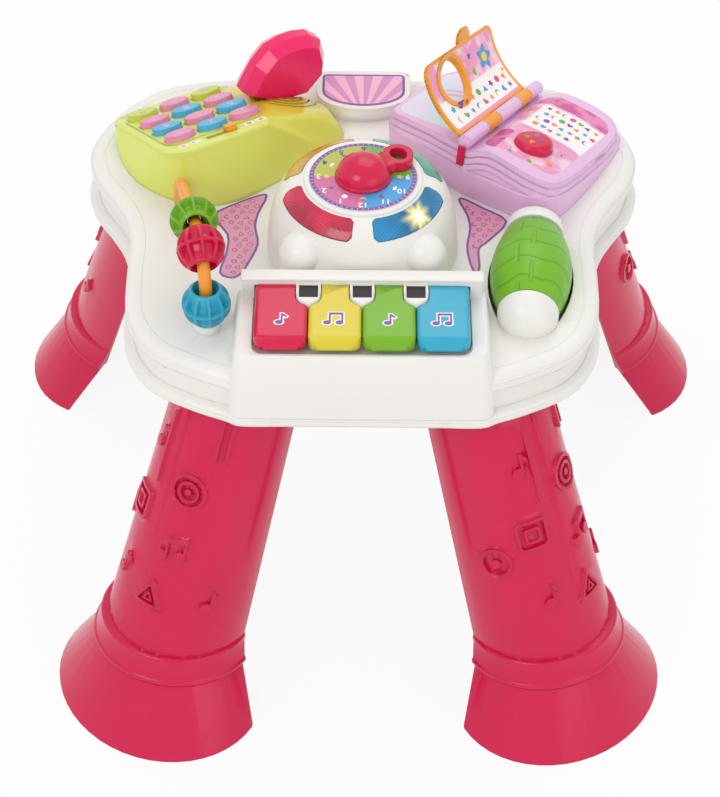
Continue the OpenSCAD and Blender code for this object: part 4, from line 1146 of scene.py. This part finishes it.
@dataclass
class CasingEdge:
    """The rounded shoulder and lip that run round the casing, each as an inset and a height."""

    lip_levels: tuple[float, float] = (305.6, 310.6)
    steps: int = 3
    shoulder: tuple[Point, ...] = (
        (8.2, 331.0),
        (7.9, 334.0),
        (5.3, 336.0),
        (3.4, 338.4),
        (2.85, 341.2),
        (3.0, 344.0),
        (4.2, 346.6),
        (6.9, 348.7),
        (10.5, 349.8),
        (16.0, 350.06),
        (16.0, 348.0),
        (10.0, 340.0),
    )
    lip: tuple[Point, ...] = (
        (2.1, 302.96),
        (0.8, 304.2),
        (0.0, 305.9),
        (-0.08, 308.1),
        (0.0, 310.3),
        (0.8, 312.0),
        (2.2, 313.25),
        (4.0, 313.6),
        (7.9, 314.4),
        (9.0, 313.0),
        (4.0, 308.0),
    )

    def build(self) -> None:
        """Makes both."""
        outline = self._outline()
        for name, profile in (("casing_shoulder", self.shoulder), ("casing_lip", self.lip)):
            rings = [self._inset(outline, inset, height) for inset, height in profile]
            settle(lofted(name, rings), "table", Paint.WHITE, 50.0)

    def _outline(self) -> list[Point]:
        """Finds the lip's outline on the solid and rounds it off.

        Returns:
            Its points, anticlockwise, in millimetres.
        """
        mesh = frame["nodes"]["bottom_casing"].data
        found: set[Point] = set()
        for face in mesh.polygons:
            corners = [mesh.vertices[i].co / MM for i in face.vertices]
            if {round(corner.z, 1) for corner in corners} == set(self.lip_levels):
                found |= {(round(corner.x, 2), round(corner.y, 2)) for corner in corners}
        points = sorted(found, key=lambda point: math.atan2(point[1], point[0]))
        points = [point for i, point in enumerate(points) if math.dist(point, points[i - 1]) > 0.3]
        fine = []
        for i in range(len(points)):
            a, b, c, d = (Vector(points[(i + k) % len(points)]) for k in (-1, 0, 1, 2))
            for t in (k / self.steps for k in range(self.steps)):
                bend = (b - a + c - d) * (0.25 * t * (1 - t))
                fine.append(tuple(b.lerp(c, t) + bend))
        return fine

    @staticmethod
    def _inset(outline: Sequence[Point], inset: float, height: float) -> list[Spot]:
        """Draws an outline in and sets it at a height."""
        ring = []
        for i, (x, y) in enumerate(outline):
            along = (Vector(outline[(i + 3) % len(outline)]) - Vector(outline[i - 3])).normalized()
            ring.append((x - along.y * inset, y + along.x * inset, height))
        return ring


@dataclass
class PianoShell:
    """The smooth front of the piano, in one face from the keys' ledge down to the casing's lip."""

    half: float = 104.0
    front: float = -203.2
    foot: float = 313.4
    ledge: float = 372.1
    back: float = -118.0
    corner: float = 10.0
    pocket: float = 85.2
    pocket_front: float = -191.6
    pocket_corner: float = 8.6
    ridge: tuple[float, float, float, float] = (95.4, 6.25, 3.0, 1.4)
    ridge_top: float = 391.0

    def build(self) -> None:
        """Makes the shell and the rounded ridge behind the keys."""
        drop = self.ledge - self.foot
        rings = []
        for t in (i / 12 for i in range(13)):
            half = self.half - 6.2 * t**2.2
            front = self.front + 8.6 * t**3.4
            rings.append(self._ring(half, front, self.foot + drop * 0.985 * t, self.corner))
        rings += [
            self._ring(self.half - 7.6, self.front + 9.2, self.ledge, self.corner),
            self._ring(self.half - 9.0, self.front + 10.4, self.ledge + 0.05, self.corner),
            self._ring(self.pocket, self.pocket_front, self.ledge, self.pocket_corner),
            self._ring(self.pocket + 0.4, self.pocket_front - 0.2, self.ledge - 0.6, self.pocket_corner),
            self._ring(self.half - 12.0, self.front + 9.6, self.ledge - 6.0, self.corner),
            self._ring(self.half - 12.0, self.front + 9.6, self.foot, self.corner),
        ]
        settle(lofted("piano_shell", rings), "table", Paint.WHITE, 50.0)
        self._ridge()

    def _ring(self, half: float, front: float, height: float, radius: float) -> list[Spot]:
        """Draws one level's outline.

        Args:
            half: Half its width.
            front: The y of its front.
            height: Its z.
            radius: The radius of its front corners.

        Returns:
            Its corners, in millimetres.
        """
        right = [polar(radius, a) for a in range(-90, 1, 10)]
        side = [(half - radius + x, front + radius + y, height) for x, y in right]
        bow = [(half * 0.5, front - 0.35, height), (0.0, front - 0.5, height)]
        end = [(half, self.back, height), (0.0, self.back, height)]
        whole = [bow[1], bow[0], *side, end[0], end[1]]
        return whole + [(-x, y, z) for x, y, z in reversed(whole[1:-1])]

    def _ridge(self) -> None:
        """Makes the rounded ridge from a block with bevelled edges."""
        half, depth, height, radius = self.ridge
        bpy.ops.object.select_all(action="DESELECT")
        bpy.ops.mesh.primitive_cube_add(size=1.0)
        block = bpy.context.object
        block.name = "piano_ridge"
        block.data.transform(Matrix.Diagonal((2 * half, 2 * depth, height, 1.0)))
        block.data.transform(Place((0.0, self.back - 2.0, self.ridge_top - height / 2)).matrix())
        opened(block)
        bpy.ops.mesh.bevel(offset=radius * MM, segments=5, affect="EDGES")
        bpy.ops.object.mode_set(mode="OBJECT")
        settle(block, "table", Paint.WHITE, 50.0)


@dataclass
class DialPrint:
    """The clock print on the dial's face."""

    centre: Spot = (0.0, -35.0, 421.0)
    hub: float = 20.0
    rim: float = 43.0
    band: float = 3.4
    figure: float = 8.0

    def build(self) -> None:
        """Lays the quarters, the ticked rim, the numbers and the small shapes."""
        place = Place(self.centre)
        quarters = (
            ("left_front", Paint.INK_ROSE, 180, 270),
            ("right_front", Paint.INK_BLUE, 270, 360),
            ("right_back", Paint.INK_GREEN, 0, 90),
            ("left_back", Paint.INK_LIME, 90, 180),
        )
        field_rim = self.rim - self.band
        for name, paint, start, end in quarters:
            cut = Cut("dial_quarter_" + name, paint, 0.05)
            cut.outlines.append(arc(field_rim, start, end, 32) + arc(self.hub - 6, end, start, 16))
            cut.done("table", place)
        rim = Cut("dial_rim", Paint.INK_VIOLET, 0.05)
        for start in (0, 180):
            rim.path(arc(self.rim - self.band / 2, start, start + 180, 48), self.band)
        rim.done("table", place)
        ticks = Cut("dial_ticks", Paint.INK_LILAC, 0.1)
        for angle in around(60):
            ticks.motif(Motif.BAR, polar(self.rim - self.band / 2, angle), 1.1, angle)
        ticks.done("table", place)
        self._numbers(place, field_rim)

    def _numbers(self, place: Place, field_rim: float) -> None:
        """Prints the hours, read from the far side, and small shapes between them."""
        light = Cut("dial_hours", Paint.INK_WHITE, 0.12)
        dark = Cut("dial_hours_dark", Paint.INK_NAVY, 0.12)
        inks = {"yellow": Paint.INK_YELLOW, "white": Paint.INK_WHITE, "violet": Paint.INK_VIOLET}
        shapes = [Cut("dial_shapes_" + name, paint, 0.1) for name, paint in inks.items()]
        order = (Motif.MOON, Motif.CLOUD, Motif.STAR, Motif.FLOWER, Motif.LEAF, Motif.HEART)
        for hour in range(1, 13):
            angle = 270 - 30 * hour
            cut = light if angle % 360 > 175 or angle % 360 < 20 else dark
            cut.figure(str(hour), polar(field_rim - self.figure * 0.48, angle), self.figure, 180)
            spot = polar(field_rim - self.figure * 1.3, angle)
            shapes[hour % 3].motif(order[hour % 6], spot, 2.7, angle)
        for cut in (light, dark, *shapes):
            cut.done("table", place)


@dataclass
class KeyPrint:
    """A note sign on each piano key."""

    middles: tuple[float, ...] = (-63.0, -21.0, 21.0, 63.0)
    names: tuple[str, ...] = ("red", "yellow", "green", "blue")
    line: float = -167.0
    size: float = 6.4

    def build(self) -> None:
        """Prints each sign in violet on a white edge."""
        for name, x in zip(self.names, self.middles):
            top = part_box("piano_key_" + name)[1][2] / MM
            edge = Cut(f"key_{name}_edge", Paint.INK_WHITE, 0.1)
            sign = Cut(f"key_{name}_sign", Paint.INK_VIOLET, 0.18)
            for cut, grow in ((edge, 1.0), (sign, 0.0)):
                self._sign(cut, name, x, grow)
                cut.done("key_" + name, Place((0.0, 0.0, top - 0.02)))

    def _sign(self, cut: Cut, name: str, x: float, grow: float) -> None:
        """Draws one key's sign.

        Args:
            cut: Takes the shapes.
            name: The key's colour.
            x: The key's middle.
            grow: How far each shape is widened.
        """
        count = 1 + self.names.index(name) % 2
        wide = (count - 1) * self.size * 0.75
        low = self.line - self.size * 0.55
        high = self.line + self.size
        for i in range(count):
            head = x - wide + i * 2 * wide
            middle = (head - 1.2, self.line - self.size * 0.6)
            cut.motif(Motif.DISC, middle, self.size * 0.36 + grow, 0, 1.3)
            cut.path([(head + 0.9, low - grow), (head + 0.9, high + grow)], 1.5 + 2 * grow)
        if count == 2:
            beam = [(x - wide + 0.15 - grow, high), (x + wide + 1.65 + grow, high)]
            cut.path(beam, 2.4 + 2 * grow)
        else:
            flag = [(x + 0.4, high - 0.6), (x + 4.6 + grow, self.line + self.size * 0.4 - grow)]
            cut.path(flag, 1.9 + 2 * grow)


@dataclass
class PhonePrint:
    """Numbers and small shapes on the telephone's buttons and panel."""

    place: Place = Place((-144.3, 93.2, 380.8), 31.0, -19.5)
    pitch: Point = (30.5, 25.0)

    def build(self) -> None:
        """Prints a number on each button and small panels by the slider."""
        for i in range(12):
            middle = ((i % 3 - 1) * self.pitch[0], (i // 3 - 1.5) * self.pitch[1])
            text = "*0#"[i % 3] if i // 3 == 3 else str(i + 1)
            cut = Cut(f"button_{i + 1}_number", Paint.INK_LILAC, 0.08)
            cut.figure(text, middle, 11.0, 180)
            cut.done(f"button_{i + 1}", shape=Drape(f"phone_button_{i + 1}", self.place))
        panels = Cut("phone_panels", Paint.INK_WHITE, 0.08)
        marks = Cut("phone_panel_marks", Paint.INK_MAGENTA, 0.14)
        for i, x in enumerate((-36.0, -25.5, 26.0, 37.0)):
            panels.outlines.append([(x - 4.6, -58.0), (x + 4.6, -58.0), (x + 4.6, -51.6), (x - 4.6, -51.6)])
            marks.motif((Motif.STAR, Motif.MOON, Motif.HEART, Motif.FLOWER)[i], (x, -54.8), 2.2)
        for cut in (panels, marks):
            cut.done("table", shape=Drape("phone_base", self.place))


@dataclass
class BookPrint:
    """Rows of small coloured shapes on the book's right leaf, its button and the turning page."""

    leaves: Place = Place((115.4, 92.6, 380.0), -31.0, -11.3)
    button: Point = (46.0, -27.0)
    hinge: float = 6.3
    lean: float = 47.0
    inks: tuple[Paint, ...] = (
        Paint.INK_VIOLET,
        Paint.INK_BLUE,
        Paint.INK_GREEN,
        Paint.INK_ORANGE,
        Paint.INK_MAGENTA,
    )
    order: tuple[Motif, ...] = (Motif.STAR, Motif.CORNER, Motif.HEART, Motif.DISC, Motif.MOON, Motif.FLOWER)

    def build(self) -> None:
        """Prints the leaf, the page and the button."""
        self._leaf()
        self._page()
        self._button()

    def _leaf(self) -> None:
        """Prints four rows of shapes on the right leaf, and a few round the button."""
        drape = Drape("book_base", self.leaves)
        cuts = [Cut(f"leaf_marks_{i}", ink, 0.08) for i, ink in enumerate(self.inks)]
        for i in range(26):
            row, column = divmod(i, 7)
            spot = (28.0 + column * 7.6 + row % 2 * 2.0, 38.5 - row * 10.6)
            if spot[0] < 76.0:
                cuts[i * 3 % 5].motif(self.order[i * 5 % 6], spot, 2.9, i * 50 % 60 - 30)
        for i, angle in enumerate((200, 250, 290, 330, 20)):
            x, y = polar(26.0, angle)
            cuts[i].motif(self.order[i], (self.button[0] + x, self.button[1] + y), 2.6, angle)
        for cut in cuts:
            cut.done("table", shape=drape)
        sun = Cut("leaf_round", Paint.INK_YELLOW, 0.06)
        sun.motif(Motif.FLOWER, (-40.0, -6.0), 15.0)
        sun.done("table", shape=drape)
        arch = Cut("leaf_bow", Paint.INK_PINK, 0.06)
        arch.path([(-38 + x, -10 + y) for x, y in arc(30.0, 40, 160)], 3.0)
        arch.path([(-38 + x, -10 + y) for x, y in arc(38.0, 40, 140)], 2.0)
        arch.done("table", shape=drape)

    def _page(self) -> None:
        """Prints the turning page, which leans back about the hinge."""
        lifted = self.leaves.matrix() @ Vector((0.0, 0.0, self.hinge)) / MM
        place = Place(tuple(lifted), self.leaves.turn, self.leaves.tilt, self.lean)
        drape = Drape("book_page", place)
        cuts = [Cut(f"page_marks_{i}", ink, 0.08) for i, ink in enumerate(self.inks)]
        for i in range(18):
            spot = (-16.0 - 10.0 * (i % 2), 42.0 - 11.0 * (i // 2))
            cuts[i * 3 % 5].motif(self.order[i % 6], spot, 3.1, i * 50 % 90)
        cuts[1].motif(Motif.FLOWER, (-48.0, 30.0), 11.0, 20)
        cuts[0].motif(Motif.STAR, (-56.0, 8.0), 3.6, 10)
        cuts[2].motif(Motif.HEART, (-42.0, 8.0), 3.2, -15)
        cuts[3].motif(Motif.STAR, (-30.0, 46.0), 2.4)
        for cut in cuts:
            cut.done("page", shape=drape)
        heart = Cut("page_flower_eye", Paint.INK_YELLOW, 0.16)
        heart.motif(Motif.DISC, (-48.0, 30.0), 4.2)
        heart.done("page", shape=drape)

    def _button(self) -> None:
        """Prints four small shapes on the button."""
        cuts = [Cut(f"book_button_marks_{i}", ink, 0.08) for i, ink in enumerate(self.inks[:4])]
        for cut, angle in zip(cuts, (20, 110, 200, 290)):
            x, y = polar(6.5, angle)
            cut.motif(Motif.CORNER, (self.button[0] + x, self.button[1] + y), 3.0, angle)
            cut.done("book_key", shape=Drape("book_button", self.leaves))


@dataclass
class LabelPrint:
    """The marks and borders of the two deck labels and the nameplate."""

    border: float = 1.8
    pitch: float = 8.2
    rows: int = 20
    columns: int = 12
    clear: float = 3.2
    mark: float = 2.3
    line: float = 0.5

    def build(self) -> None:
        """Draws the borders and scatters the marks."""
        for node in ("label_left", "label_right", "nameplate"):
            outline, top = self._outline(node)
            edge = Cut(node + "_border", Paint.INK_VIOLET, 0.1)
            edge.ribbon(outline, self.border)
            edge.done("table", Place((0.0, 0.0, top)))
            if node != "nameplate":
                self._marks(node, outline, top)
        overlay("nameplate", "nameplate_field", Paint.RAYS, 0.05 * MM)

    def _outline(self, node: str) -> tuple[list[Point], float]:
        """Finds a label's outline.

        Args:
            node: The label.

        Returns:
            The outline drawn in by half the border, and the height of the top.
        """
        film = copied(node, node + "_trace")
        bpy.ops.object.mode_set(mode="EDIT")
        bpy.ops.mesh.dissolve_limited(angle_limit=math.radians(0.5))
        bpy.ops.object.mode_set(mode="OBJECT")
        level = [face for face in film.data.polygons if face.normal.z > UPWARD]
        rim = max(level, key=lambda face: face.area)
        points = [Vector(film.data.vertices[i].co[:2]) / MM for i in rim.vertices]
        top = film.data.vertices[rim.vertices[0]].co.z / MM
        bpy.data.objects.remove(film)
        drawn = []
        for i, point in enumerate(points):
            along = (points[(i + 1) % len(points)] - points[i - 1]).normalized()
            drawn.append((point.x - along.y * self.border / 2, point.y + along.x * self.border / 2))
        return drawn, top

    def _marks(self, node: str, outline: list[Point], top: float) -> None:
        """Scatters small crimson shapes over a label.

        Args:
            node: The label.
            outline: Its border's middle line.
            top: The height of its top.
        """
        low = [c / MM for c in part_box(node)[0]]
        cut = Cut(node + "_marks", Paint.INK_CRIMSON, 0.06)
        order = (Motif.STAR, Motif.HEART, Motif.DISC, Motif.CORNER, Motif.FLOWER, Motif.MOON)
        spots = [
            (low[0] + (i + 0.5 * (j % 2)) * self.pitch, low[1] + j * self.pitch * 0.86)
            for j in range(self.rows)
            for i in range(self.columns)
        ]
        for number, spot in enumerate(spots):
            ring = [(spot[0] + x, spot[1] + y) for x, y in Motif.DISC.outline(self.clear)]
            if not all(inside(p, outline) for p in ring):
                continue
            motif = order[number * 5 % 6]
            turn = number * 47.0 % 90 - 45
            shape = placed(motif.outline(self.mark), spot, turn)
            for start, end in zip(shape, [*shape[1:], shape[0]]):
                cut.path([start, end], self.line)
        cut.done("table", Place((0.0, 0.0, top)))


def main() -> None:
    """Builds the scene."""
    logging.basicConfig(level=logging.INFO, format="%(message)s")
    bpy.context.scene.view_settings.view_transform = "Standard"
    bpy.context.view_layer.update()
    prints = (DialPrint, KeyPrint, PhonePrint, BookPrint, LabelPrint)
    for section in (Studio, Mouldings, CasingEdge, PianoShell, *prints):
        section().build()


if __name__ == "__main__":
    main()
